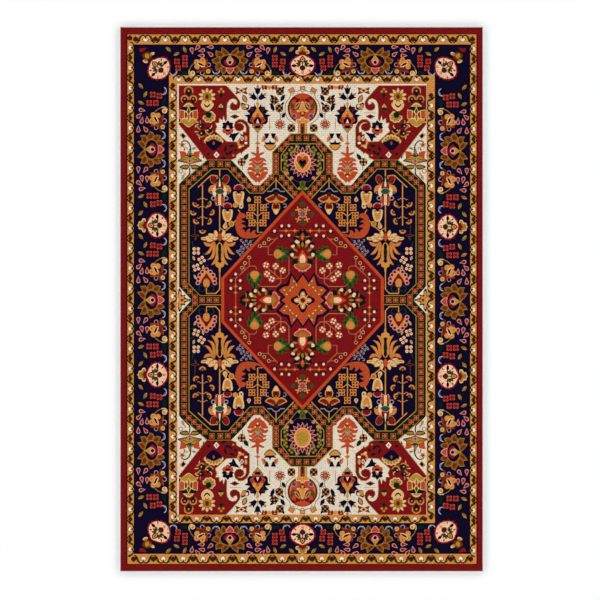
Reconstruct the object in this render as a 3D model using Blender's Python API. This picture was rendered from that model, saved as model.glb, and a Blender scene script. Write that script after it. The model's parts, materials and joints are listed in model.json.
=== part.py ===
# A flat area rug: a cushioned sheet pressed together from five full-size layers and cut
# square through all of them, with no binding, fringe or pile.
#
# Metres, +Z up. The origin is the middle of the underside, +Y runs along the rug's length
# and +Z leaves the patterned face. Every layer is its own closed solid.

import bmesh
import bpy

# Driving dimensions
RUG_WIDTH = 1.200
RUG_LENGTH = 1.800
CORNER_RADIUS = 0.0025    # the die rounds the four corners a little
CORNER_SEGMENTS = 4
GLUE_LINE = 0.0003        # room left between two bonded layers

# The layers from the floor upwards
LAYERS = (
    {"name": "grip_backing", "thickness": 0.0011, "color": (0.60, 0.60, 0.59), "roughness": 0.90},
    {"name": "glass_fleece", "thickness": 0.0003, "color": (0.78, 0.78, 0.74), "roughness": 0.95},
    {"name": "foam_core", "thickness": 0.0009, "color": (0.82, 0.81, 0.77), "roughness": 0.90},
    {"name": "printed_film", "thickness": 0.0002, "color": (0.26, 0.03, 0.03), "roughness": 0.70},
    {"name": "wear_layer", "thickness": 0.0003, "color": (0.40, 0.12, 0.08), "roughness": 0.55},
)


def clear_scene():
    for scene_object in list(bpy.data.objects):
        bpy.data.objects.remove(scene_object, do_unlink=True)


def make_collection(name):
    collection = bpy.data.collections.new(name)
    bpy.context.scene.collection.children.link(collection)
    return collection


def make_material(name, color, roughness):
    material = bpy.data.materials.new(name)
    material.use_nodes = True
    shader = material.node_tree.nodes["Principled BSDF"]
    shader.inputs["Base Color"].default_value = (*color, 1.0)
    shader.inputs["Roughness"].default_value = roughness
    shader.inputs["Metallic"].default_value = 0.0
    return material


def is_upright(edge):
    start, end = (vertex.co for vertex in edge.verts)
    return abs(start.z - end.z) > max(abs(start.x - end.x), abs(start.y - end.y))


def layer_mesh(name, thickness):
    """A sheet standing on its own origin, with its four upright corner edges rounded."""
    mesh = bpy.data.meshes.new(name)
    sheet = bmesh.new()
    bmesh.ops.create_cube(sheet, size=1.0)
    bmesh.ops.translate(sheet, vec=(0.0, 0.0, 0.5), verts=sheet.verts)
    corner_edges = [edge for edge in sheet.edges if is_upright(edge)]
    bmesh.ops.scale(sheet, vec=(RUG_WIDTH, RUG_LENGTH, thickness), verts=sheet.verts)
    bmesh.ops.bevel(
        sheet,
        geom=corner_edges,
        offset=CORNER_RADIUS,
        offset_type="OFFSET",
        segments=CORNER_SEGMENTS,
        profile=0.5,
        affect="EDGES",
    )
    sheet.to_mesh(mesh)
    sheet.free()
    return mesh


def build_layers(collection):
    height = 0.0
    for layer in LAYERS:
        sheet = bpy.data.objects.new(layer["name"], layer_mesh(layer["name"], layer["thickness"]))
        sheet.location.z = height
        sheet.data.materials.append(make_material(layer["name"], layer["color"], layer["roughness"]))
        collection.objects.link(sheet)
        height += layer["thickness"] + GLUE_LINE


clear_scene()
build_layers(make_collection("area_rug"))
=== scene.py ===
# Area rug: a printed, foam-backed floor sheet with a traditional Persian-style face.
# The pattern is drawn here as plain outlines in millimetres, cut into one flat mosaic and
# given a woven surface. Metres everywhere else, +Z up, the rug's length along +Y.

import json
from math import atan, ceil, cos, floor, hypot, radians, sin, sqrt, tan, tau

import bmesh
import bpy
import numpy as np
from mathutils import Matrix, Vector
from mathutils.geometry import delaunay_2d_cdt

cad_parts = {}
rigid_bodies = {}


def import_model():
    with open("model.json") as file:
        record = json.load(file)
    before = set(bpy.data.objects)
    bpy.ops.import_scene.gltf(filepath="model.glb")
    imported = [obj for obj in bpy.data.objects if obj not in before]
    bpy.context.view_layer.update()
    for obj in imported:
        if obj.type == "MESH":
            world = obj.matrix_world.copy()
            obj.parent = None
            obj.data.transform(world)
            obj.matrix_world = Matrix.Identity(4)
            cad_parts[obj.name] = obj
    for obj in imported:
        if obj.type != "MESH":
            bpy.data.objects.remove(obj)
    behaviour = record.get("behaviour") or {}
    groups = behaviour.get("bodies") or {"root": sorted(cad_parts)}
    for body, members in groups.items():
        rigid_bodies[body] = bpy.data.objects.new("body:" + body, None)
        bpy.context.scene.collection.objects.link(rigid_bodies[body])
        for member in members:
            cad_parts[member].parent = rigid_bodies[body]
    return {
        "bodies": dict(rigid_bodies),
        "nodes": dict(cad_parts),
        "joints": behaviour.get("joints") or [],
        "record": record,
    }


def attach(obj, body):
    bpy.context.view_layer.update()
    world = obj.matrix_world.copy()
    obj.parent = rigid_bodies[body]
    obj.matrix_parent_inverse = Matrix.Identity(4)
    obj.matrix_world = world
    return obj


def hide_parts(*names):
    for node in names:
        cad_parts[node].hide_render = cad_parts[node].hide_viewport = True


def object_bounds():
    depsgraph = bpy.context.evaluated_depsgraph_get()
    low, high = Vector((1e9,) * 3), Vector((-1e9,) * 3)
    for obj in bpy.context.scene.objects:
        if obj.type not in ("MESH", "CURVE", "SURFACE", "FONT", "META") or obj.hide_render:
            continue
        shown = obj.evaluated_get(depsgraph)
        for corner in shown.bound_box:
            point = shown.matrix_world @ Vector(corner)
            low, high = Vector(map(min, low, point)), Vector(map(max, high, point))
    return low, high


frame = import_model()
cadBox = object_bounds()


# drawing kit: a shape is (ink, outline), and an outline is a list of points in millimetres

def circle(ink, x, y, r, corners=12):
    return oval(ink, x, y, r, r, 0, corners)


def oval(ink, x, y, wide, tall, turn=0, corners=14):
    c, s = cos(radians(turn)), sin(radians(turn))
    outline = []
    for i in range(corners):
        a = tau * (i + 0.5) / corners
        u, v = wide * cos(a), tall * sin(a)
        outline.append((x + u * c - v * s, y + u * s + v * c))
    return [(ink, outline)]


def patch(ink, *points):
    return [(ink, list(points))]


def curvy(ink, *points, steps=3):
    # a closed smooth outline through the points
    outline = []
    count = len(points)
    for i in range(count):
        p0, p1, p2, p3 = (points[(i + k - 1) % count] for k in range(4))
        for j in range(steps):
            outline.append(between(p0, p1, p2, p3, j / steps))
    return [(ink, outline)]


def between(p0, p1, p2, p3, t):
    # Catmull-Rom, from p1 towards p2
    return tuple(0.5 * (2 * b + (c - a) * t + (2 * a - 5 * b + 4 * c - d) * t * t
                        + (3 * b - a - 3 * c + d) * t ** 3)
                 for a, b, c, d in zip(p0, p1, p2, p3))


def smoothPath(points, steps=3):
    ends = [points[0], *points, points[-1]]
    path = [between(*ends[i:i + 4], j / steps) for i in range(len(points) - 1) for j in range(steps)]
    return path + [points[-1]]


def stripe(ink, points, width, tip=None):
    # a line of the given width along the points, narrowing to tip at its end
    last = len(points) - 1
    left, right = [], []
    for i, (x, y) in enumerate(points):
        ax, ay = points[max(i - 1, 0)]
        bx, by = points[min(i + 1, last)]
        run = hypot(bx - ax, by - ay) or 1.0
        nx, ny = (ay - by) / run, (bx - ax) / run
        half = (width if tip is None else width + (tip - width) * i / last) / 2
        if 0 < i < last:
            inRun = hypot(x - ax, y - ay) or 1.0
            square = abs(nx * (ay - y) / inRun + ny * (x - ax) / inRun)
            half /= max(square, 0.6)
        left.append((x + nx * half, y + ny * half))
        right.append((x - nx * half, y - ny * half))
    return [(ink, left + right[::-1])]


def vine(ink, points, width, tip=None, steps=3):
    return stripe(ink, smoothPath(points, steps), width, tip)


def ring(ink, x, y, r, width, start=0, sweep=360, steps=14):
    arc = [(x + r * cos(radians(start + sweep * i / steps)), y + r * sin(radians(start + sweep * i / steps)))
           for i in range(steps + 1)]
    return stripe(ink, arc, width)


def leaf(ink, x, y, length, width, turn=0, fullness=0.62):
    # pointed at both ends, centred on (x, y)
    a, b = length / 2, width / 2
    shape = [(-a, 0), (-a * fullness, b * 0.55), (-a * 0.2, b), (a * 0.3, b * 0.9), (a * 0.72, b * 0.45),
             (a, 0), (a * 0.72, -b * 0.45), (a * 0.3, -b * 0.9), (-a * 0.2, -b), (-a * fullness, -b * 0.55)]
    return place([(ink, shape)], x, y, turn)


def drop(ink, x, y, length, width, turn=0):
    # a point at +u and a round end at -u, centred on (x, y)
    r = width / 2
    c = r - length / 2
    shape = [(length / 2, 0)]
    for i in range(9):
        a = radians(70 + 220 * i / 8)
        shape.append((c + r * cos(a), r * sin(a)))
    return place([(ink, shape)], x, y, turn)


def inset(ink, outline, size, lean=(0, 0)):
    # the same outline, smaller, drawn round its own middle moved by lean
    x = sum(u for u, v in outline) / len(outline)
    y = sum(v for u, v in outline) / len(outline)
    return [(ink, [(x + (u - x) * size + lean[0], y + (v - y) * size + lean[1]) for u, v in outline])]


def heart(ink, x, y, width, height, turn=0):
    # the point is at -v
    w, h = width / 2, height / 2
    shape = [(0, -h), (w * 0.6, -h * 0.35), (w, h * 0.3), (w * 0.85, h * 0.85), (w * 0.45, h),
             (w * 0.1, h * 0.75), (0, h * 0.5), (-w * 0.1, h * 0.75), (-w * 0.45, h),
             (-w * 0.85, h * 0.85), (-w, h * 0.3), (-w * 0.6, -h * 0.35)]
    return place([(ink, shape)], x, y, turn)


def star(ink, x, y, outer, inner, points, turn=0):
    outline = []
    for i in range(points * 2):
        a = radians(turn) + tau * i / (points * 2)
        r = inner if i % 2 else outer
        outline.append((x + r * cos(a), y + r * sin(a)))
    return [(ink, outline)]


def place(shapes, x=0, y=0, turn=0, flip=False, size=1.0, tall=1.0):
    c, s = cos(radians(turn)), sin(radians(turn))
    placed = []
    for ink, outline in shapes:
        moved = []
        for u, v in outline:
            u, v = (-u if flip else u) * size, v * size * tall
            moved.append((x + u * c - v * s, y + u * s + v * c))
        placed.append((ink, moved))
    return placed


def acrossX(shapes):
    return [(ink, [(-x, y) for x, y in outline]) for ink, outline in shapes]


def acrossY(shapes):
    return [(ink, [(x, -y) for x, y in outline]) for ink, outline in shapes]


def bothSides(shapes):
    return shapes + acrossX(shapes)


def fourWays(shapes):
    half = shapes + acrossX(shapes)
    return half + acrossY(half)


# guard stripes: a green vine over white hearts and dark buds, repeated along each side

guardRepeat = (65.8, 66.6)      # along the ends, along the sides


def guardRepeatMotif():
    half = vine("ink", [(0, 5), (0.8, 9.5), (5, 13), (11.5, 13), (17, 8.5), (20, 2), (23, -4), (26, -9.5),
                        (31, -11)], 4.2)
    half += vine("ink", [(15.5, 10.5), (19, 4), (21.5, -2), (24, -7)], 7.6)
    half += vine("green", [(16.5, 8.5), (19.3, 3.5), (21.6, -2.5)], 4.8)
    half += vine("sand", [(3.2, 6.5), (7, 8.8), (11, 7), (13, 2.5)], 2.4)
    shapes = bothSides(half)
    shapes += heart("rustRed", 0, -3, 20, 16.5)
    shapes += heart("white", 0, -2.6, 15.5, 12.5)
    return shapes


def guardBud():
    shapes = curvy("maroon", (-8.7, 0), (-7.6, 5), (-3.6, 7.8), (0, 11.8), (3.6, 7.8), (7.6, 5), (8.7, 0),
                   (6.6, -5), (0, -7.2), (-6.6, -5))
    shapes += patch("ink", (-1.6, -5), (1.6, -5), (1.2, -9.5), (-1.2, -9.5))
    return shapes


def guardRun(start, end, centre, phase, depth, side):
    # side is the way the vine's crest faces: up, down, right or left
    turn = {"up": 0, "down": 180, "right": -90, "left": 90}[side]
    alongX = side in ("up", "down")
    step = guardRepeat[0 if alongX else 1] / 2
    shapes = []
    for i in range(ceil((start + 12 - phase) / step), floor((end - 12 - phase) / step) + 1):
        at = phase + i * step
        motif = guardBud() if i % 2 else guardRepeatMotif()
        motif = clipAlong(motif, start - at + 2, end - at - 2, turn)
        shapes += place(motif, *((at, centre) if alongX else (centre, at)), turn, tall=depth / 25)
    return shapes


def clipAlong(shapes, low, high, turn):
    # keeps the vine's own outline inside the ends of its run
    if turn in (180, -90):
        low, high = -high, -low
    return [(ink, [(min(max(u, low), high), v) for u, v in outline]) for ink, outline in shapes]


# navy border

palmettePetals = (
    ((2, 24), (7, 35), (17, 43), (27, 50), (29, 34), (24, 26), (12, 21)),
    ((17, 25), (28, 34), (39, 36), (47, 40), (48, 22), (38, 15), (26, 17)),
    ((32, 17), (42, 18), (51, 12), (61, 8), (56, -3), (46, -8), (35, -2)),
    ((33, 1), (43, -2), (49, -16), (46, -29), (36, -26), (30, -16), (28, -8)),
    ((24, -13), (31, -20), (30, -32), (24, -42), (17, -38), (11, -27), (13, -18)),
)


def palmette():
    half = []
    for petal in palmettePetals:
        lean = (-0.07 * petal[2][0], -0.05 * petal[2][1])
        half += patch("gold", *petal)
        half += inset("bark", petal, 0.8)
        half += inset("rust", petal, 0.54, lean)
    base = curvy("umber", (0, 27), (14, 30), (30, 26), (43, 16), (46, 3), (42, -12), (33, -24), (16, -28),
                 (0, -26))
    shapes = bothSides(base) + bothSides(half)
    shapes += oval("gold", 0, 2, 34, 23.5) + oval("navy", 0, 2, 32, 21.5)
    shapes += curvy("red", (-21, 0), (-13, 8), (0, 11), (13, 8), (21, 0), (13, -11), (0, -15), (-13, -11))
    shapes += curvy("ochre", (0, 30), (2, 22), (8, 13), (12.5, 6), (9, -4), (0, -7), (-9, -4), (-12.5, 6),
                    (-8, 13), (-2, 22))
    shapes += curvy("mustard", (0, 24), (3, 16), (6, 10), (0, 7), (-6, 10), (-3, 16))
    shapes += circle("palePink", 0, -1, 8.6) + circle("navy", 0, -1, 6.0)
    shapes += curvy("blush", (-13, -18), (0, -19.5), (13, -18), (12.5, -28), (0, -41), (-12.5, -28))
    shapes += curvy("orangeRed", (-10.6, -20), (0, -21.5), (10.6, -20), (10, -27), (0, -37.5), (-10, -27))
    return shapes


def teardrop(turn):
    shapes = drop("blush", 0, 0, 23.5, 13.5, turn)
    return shapes + drop("red", -0.8 * cos(radians(turn)), -0.8 * sin(radians(turn)), 16.5, 9.2, turn)


def quatrefoil():
    shapes = patch("orangeRed", (-8, -7), (-7, -8), (7, -8), (8, -7), (8, 7), (7, 8), (-7, 8), (-8, 7))
    for u in (-5, 5):
        for v in (-5, 5):
            shapes += circle("orangeRed", u, v, 4.6, 8)
            shapes += circle("red", u * 0.86, v * 0.86, 2.7, 6)
    shapes += patch("maroon", (-2.4, -4), (2.4, -4), (2.4, 4), (-2.4, 4))
    shapes += patch("maroon", (-4, -2.4), (4, -2.4), (4, 2.4), (-4, 2.4))
    for a in range(4):
        shapes += place(patch("navy", (6.2, -1.3), (10.5, -2.2), (10.5, 2.2), (6.2, 1.3)), turn=90 * a)
    return shapes


def goldLeaf(turn):
    shapes = leaf("gold", 0, 0, 23, 10.5) + leaf("mustard", 3, -1.5, 13, 5)
    shapes += stripe("umber", [(-8, 0.6), (5, 1.2)], 1.6)
    return place(shapes, turn=turn)


def lotus():
    # three ochre lobes over brown leaves, with small rings beside them
    shapes = patch("rust", (-19, 20), (-11, 17), (-9, 2), (-5, -9), (5, -12), (13, -12), (21, -27),
                   (6, -25), (-5, -23), (-8, -37), (-15, -30), (-14, -20), (-22, -20), (-33, -20),
                   (-35, -14), (-26, -11), (-19, -9))
    shapes += stripe("rustRed", [(-19, -8.5), (-4, -9.5)], 2.6)
    shapes += stripe("rustRed", [(-16.5, 15), (-16.5, -4)], 2.2)
    shapes += stripe("rustRed", [(-2, -22), (17, -26)], 2.4) + stripe("maroon", [(-3, -15), (10, -16)], 3)
    for x, y, r in ((-2, 13, 9.6), (17, 8, 9.6), (16, -7, 9.2), (7, 4, 10), (-6, 5, 8)):
        shapes += circle("ochre", x, y, r)
    shapes += circle("orange", -2, 14, 3, 6) + circle("orange", 18, 8, 3, 6)
    shapes += curvy("peach", (-10, -7), (-3, 2), (8, 7), (17, 9), (10, -4), (0, -9))
    shapes += curvy("ink", (-8, -6), (-2, 1), (6, 5), (14, 7), (8, -2), (0, -7))
    shapes += stripe("peach", [(-6, -8), (13, -1)], 2.0) + circle("rust", 6, -8, 3, 6)
    shapes += ring("blush", -23, -1, 6, 1.8, 60, 260, 9)
    shapes += circle("sand", -21, -23, 7.2, 10) + circle("mustard", -21, -23, 5.0, 9)
    shapes += ring("paleBlue", -1, -29, 6.2, 2.0, 170, 230, 9) + circle("navy", -1, -28, 4.5, 8)
    return shapes


def scroll():
    # a pale curl on a gold stem that springs from the lotus
    shapes = vine("gold", [(-8, 33), (0, 25), (6, 14), (8, 4)], 2.4)
    shapes += vine("sand", [(8, 10), (9, 1), (6, -6), (-1, -10)], 3.6, 2)
    shapes += circle("sand", -3, 0, 8.6, 10) + ring("peach", -3, 0, 7.6, 1.8, 190, 160, 7)
    shapes += circle("mustard", -4, 1, 4.2, 8)
    return shapes


def greenLeaf():
    return leaf("deepGreen", 0, 0, 30, 12, -10) + stripe("inkGreen", [(-8, 1), (9, -1)], 1.6)


def crescent(turn):
    shapes = curvy("paleBlue", (-13, 6), (-5, -2), (6, -4), (13, 3), (11, -5), (3, -9), (-8, -7))
    shapes += curvy("navy", (-8, -1), (0, -5), (8, -2.5), (4, -6.5), (-5, -5.5))
    return place(shapes, turn=turn)


def borderGroup():
    # what stands between a palmette (at 0) and the next rosette (at 240), with v outwards
    shapes = place(crescent(0), 45, -31)
    for u, v, turn in ((66, 50, 0), (66, 27, 38), (94, 38, -12), (96, 21, 2), (109, 47, -48),
                       (126, 37, -102)):
        shapes += place(teardrop(turn), u, v)
    shapes += place(lotus(), 93, -8)
    shapes += place(scroll(), 127, -37)
    shapes += place(greenLeaf(), 151, -36)
    shapes += place(crescent(-8), 187, -35)
    for u, v in ((149, 14), (149, -8), (176, 2), (172, -20)):
        shapes += place(quatrefoil(), u, v)
    for u, v, turn in ((150, 41, 65), (177, 27, -28), (204, 42, 42)):
        shapes += place(goldLeaf(turn), u, v)
    return shapes


def rosetteShape(grow):
    # a round flower with a slight point on its outer side
    points = ((0, 34), (13, 29), (26, 22), (36, 11), (38, -1), (34, -13), (24, -24), (12, -31), (0, -33),
              (-12, -31), (-24, -24), (-34, -13), (-38, -1), (-36, 11), (-26, 22), (-13, 29))
    return [(u * grow, v * grow) for u, v in points]


def rosette():
    outline = rosetteShape(1.0)
    edge = []
    for i, (u, v) in enumerate(smoothPath(outline + outline[:1], 2)[:-1]):
        reach = 1.19 if i % 2 else 1.09
        edge.append((u * reach, v * reach))
    shapes = [("red", edge)]
    shapes += curvy("peach", *outline, steps=2)
    shapes += rosetteHeart()
    return shapes


def rosetteHeart():
    half = leaf("ink", 28, -1, 20, 10, 0)
    half += leaf("ink", 24, -18, 11, 4, -40) + leaf("ink", 25, 15, 11, 4.6, 35)
    for a in (5, 38, 70, -25):
        half += leaf("ink", 14.5 * cos(radians(a)), 5 + 12.5 * sin(radians(a)), 17, 8, a)
        half += leaf("olive", 15 * cos(radians(a)), 5 + 13 * sin(radians(a)), 9, 2.8, a)
    half += leaf("blush", 13, -26, 11, 3, 65)
    shapes = bothSides(half)
    shapes += curvy("ink", (0, 32), (8, 24), (9, 16), (0, 9), (-9, 16), (-8, 24))
    shapes += curvy("ochre", (0, 28), (5, 22), (5.4, 16), (0, 12), (-5.4, 16), (-5, 22))
    shapes += leaf("ink", 0, 20, 9, 3, 90)
    shapes += stripe("ink", [(0, 12), (0, 0)], 3)
    shapes += curvy("maroon", (0, 0), (7, -2), (10, -9), (5, -16), (0, -18), (-5, -16), (-10, -9), (-7, -2))
    shapes += bothSides(stripe("ink", [(2.5, -20), (4, -27)], 1.6))
    shapes += stripe("ink", [(0, -20), (0, -30)], 1.6)
    return shapes


def trefoil():
    # the gold bloom on the rosette's outer side
    shapes = curvy("sand", (-10, -8), (-22, -6), (-22, 3), (-14, 7), (-13, 15), (-4, 17), (0, 21),
                   (4, 17), (13, 15), (14, 7), (22, 3), (22, -6), (10, -8))
    shapes += curvy("gold", (-8, -5), (-18, -4), (-18, 1), (-10, 4), (-9, 12), (0, 16), (9, 12), (10, 4),
                    (18, 1), (18, -4), (8, -5))
    shapes += curvy("darkRed", (-13, -7), (-10, -1), (-4, 1), (0, 5), (4, 1), (10, -1), (13, -7), (0, -11))
    return shapes


def cornerBloom():
    shapes = place(patch("red", (-12, 0), (14, 2), (2, -12), (-8, -12)), -15, 25)
    shapes += leaf("deepGreen", -9, 14, 16, 10, 45)
    shapes += curvy("rust", (-14, -4), (-2, -16), (14, -8), (15, 4), (4, 14), (-8, 10), (-16, 4))
    shapes += oval("sand", 17, 7, 9, 5, 30) + oval("sand", -6, -18, 9, 5, -20)
    shapes += oval("gold", 13, 4, 6, 4, 30) + oval("gold", -6, -14, 6, 4, -20)
    shapes += oval("mustard", 0, 0, 7, 9, 20)
    return shapes


# field: everything below is one quarter (left, upper), mirrored to the other three

hexApex = 365
hexShoulder = (-270, 73)


def latticeGround():
    # the dark green band between the cream ground and the navy panels, as nested outlines
    rim = [(-411, 0), (-368, 0), (-411, 46), (-411, 384), (-318, 466), (-238, 466), (-202, 429),
           (-163, 382), (-142, 382), (-101, 421), (-101, 492), (-40, 553), (0, 553), (0, 0)]
    panel = [(-340, 14), (-378, 52), (-378, 369), (-302, 436), (-247, 436), (-174, 356), (-131, 356),
             (-88, 402), (-28, 339), (-262, 14)]
    octagon = [(0, 520), (-44, 520), (-72, 480), (-72, 432), (-16, 366), (0, 366)]
    shapes = patch("mustard", *rim)
    shapes += patch("deepGreen", *[(x + 2.2 if y else x, y - 2.2) if y else (x, y) for x, y in rim])
    shapes += patch("cream", (-414, 0), (-369, 0), (-411, 45), (-414, 45))
    shapes += patch("mustard", *panel)
    shapes += patch("navy", (-340, 16), (-375.5, 53), (-375.5, 367), (-301, 433.5), (-248, 433.5),
                    (-175, 353.5), (-130, 353.5), (-88, 398), (-25, 330), (-255, 16))
    shapes += patch("mustard", *octagon)
    shapes += patch("navy", (1, 517.5), (-43, 517.5), (-69.5, 479), (-69.5, 433), (-14, 366), (1, 366))
    return shapes


def latticeRosettes():
    places = [(-393, 373 - 22.3 * i) for i in range(15)]
    places += [(-389, 46), (-373, 29), (-357, 10), (-333, 0), (-309, 0), (-286, 0)]
    places += [(-378, 391), (-361, 405), (-343, 421), (-324, 437), (-301, 451), (-273, 451), (-248, 450),
               (-228, 433), (-211, 414), (-193, 397), (-177, 380), (-159, 369), (-135, 369), (-119, 389),
               (-104, 407)]
    places += [(-88, 425), (-88, 443), (-88, 461), (-88, 479), (-72, 501), (-55, 518), (-39, 537),
               (-13, 537), (-69, 406), (-55, 389), (-40, 371), (-26, 353)]
    shapes = []
    for x, y in places:
        shapes += place(fourDots(), x, y)
    return shapes


def fourDots(size=9.0, frame="clay"):
    shapes = curvy(frame, (-size, -size), (0, -size * 0.9), (size, -size), (size * 0.9, 0), (size, size),
                   (0, size * 0.9), (-size, size), (-size * 0.9, 0), steps=1)
    for u, v in ((0, 1), (1, 0), (0, -1), (-1, 0)):
        shapes += circle("deepGreen", u * size * 0.86, v * size * 0.86, size * 0.14, 5)
        shapes += circle("tan", u * size * 0.42, v * size * 0.42, size * 0.15, 5)
    shapes += circle("mustard", 0, 0, size * 0.16, 6)
    for u in (-0.5, 0.5):
        for v in (-0.5, 0.5):
            shapes += circle("darkRed", u * size, v * size, size * 0.35, 7)
    return shapes


def medallionGround():
    x, y = hexShoulder
    shapes = patch("orange", (0, 0), (x, 0), (x, y), (0, hexApex))
    shapes += patch("fieldRed", (0, 0), (x + 10, 0), (x + 10, y - 3), (0, hexApex - 15))
    return shapes


# corner pieces of the field

def cornerGround():
    outline = [(-411, 712), (-254, 712), (-247, 706), (-216, 672), (-208, 660), (-206, 650), (-210, 637),
               (-219, 630), (-231, 629), (-240, 636), (-241, 646), (-235, 655), (-227, 657), (-232, 648),
               (-228, 644), (-219, 649), (-216, 658), (-221, 666), (-231, 669), (-243, 664), (-250, 652),
               (-252, 630), (-251, 600), (-256, 592), (-262, 612), (-266, 596), (-276, 604), (-277, 588),
               (-289, 588), (-284, 575), (-290, 560), (-284, 555), (-252, 526), (-214, 525), (-211, 533),
               (-204, 545), (-207, 552), (-198, 548), (-196, 560), (-188, 556), (-187, 573), (-192, 583),
               (-202, 590), (-213, 589), (-219, 580), (-216, 570), (-207, 566), (-200, 571), (-200, 578),
               (-207, 580), (-207, 574), (-211, 578), (-208, 584), (-199, 584), (-194, 576), (-196, 566),
               (-207, 560), (-220, 563), (-227, 575), (-224, 590), (-212, 600), (-196, 599), (-184, 590),
               (-176, 573), (-176, 510), (-200, 491), (-203, 483), (-206, 490), (-219, 482), (-221, 472),
               (-238, 465), (-318, 465), (-411, 584)]
    shapes = [("fieldRed", outline)]
    shapes += stripe("gold", outline[1:-1], 1.7) + stripe("gold", [(-318, 465), (-411, 584)], 1.7)
    shapes += circle("fieldRed", -228, 641, 10.5) + circle("fieldRed", -209, 576, 12)
    shapes += ring("maroon", -209, 576, 7.5, 1.6, 60, 260, 9)
    return shapes


def cornerFlowers():
    shapes = []
    # three rings round dark buds
    for x, y, r, turn in ((-378, 694, 15, 0), (-391, 667, 12.5, 25), (-363, 667, 12.5, -25)):
        shapes += ring("rust", x, y, r - 3, 8, turn - 40, 260)
        shapes += ring("amber", x, y, r - 1.5, 4.4, turn - 35, 250)
        shapes += leaf("inkGreen", x - r * 0.4, y - 3, r, r * 0.7, 30)
        shapes += leaf("inkGreen", x + r * 0.4, y - 3, r, r * 0.7, -30)
        shapes += leaf("inkGreen", x, y - r * 0.6, r * 1.2, r * 0.9, 90)
        shapes += circle("inkGreen", x, y, r * 0.5, 8)
        shapes += circle("ochre", x, y, r * 0.23, 6)
    # lotus on a gold fan
    lotusHalf = curvy("sand", (0, 39), (7, 38), (13, 33), (18, 26), (0, 26))
    lotusHalf += curvy("mustard", (0, 35), (6, 33), (11, 29), (0, 28))
    lotusHalf += patch("inkGreen", (0, 27), (8, 27), (17, 27), (27, 21), (24, 14), (9, 14), (0, 20))
    lotusHalf += patch("sand", (13, 15), (30, 17), (31, -10), (26, -17), (14, -12))
    lotusHalf += patch("orange", (15, 13), (28.5, 15), (29.5, -9), (25, -14), (15.5, -10))
    lotusHalf += patch("sand", (0, 28), (7, 12), (13, 13), (15, -8), (9, -16), (0, -23))
    lotusHalf += patch("brown", (5, 5), (12, 11), (13.5, -7), (9, -12), (5, -4))
    lotusHalf += curvy("sand", (0, -24), (10, -12), (20, -14), (33, -27), (24, -26), (10, -36), (0, -41))
    lotusHalf += curvy("mustard", (0, -26), (10, -14), (20, -17), (27, -24), (10, -33), (0, -38))
    shapes += place(bothSides(lotusHalf) + patch("brown", (0, 23), (5.5, 11), (0, 1), (-5.5, 11))
                    + stripe("orange", [(0, 0), (0, -20)], 8, 3), -378, 615)
    # daisy over a cream bib
    shapes += curvy("sand", (-333, 655), (-298, 655), (-297, 643), (-306, 632), (-317, 627), (-328, 632),
                    (-336, 643))
    shapes += curvy("navy", (-327, 652), (-317, 644), (-307, 652), (-308, 645), (-317, 639), (-326, 645))
    for i in range(10):
        shapes += place(leaf("sand", 20, 0, 19, 9.5), -317, 675, 36 * i + 18)
    shapes += star("gold", -317, 675, 19, 14, 10)
    shapes += oval("darkRed", -317, 675, 6, 8.5)
    # scalloped bloom
    for a in (60, 15, -30, -75, -120, -165):
        shapes += circle("sand", -310 + 14 * cos(radians(a)), 608 + 12 * sin(radians(a)), 8.5, 9)
        shapes += circle("gold", -310 + 12 * cos(radians(a)), 608 + 10 * sin(radians(a)), 6.5, 8)
    shapes += circle("deepGreen", -312, 615, 10)
    shapes += cornerSmallFlowers()
    return shapes


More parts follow.
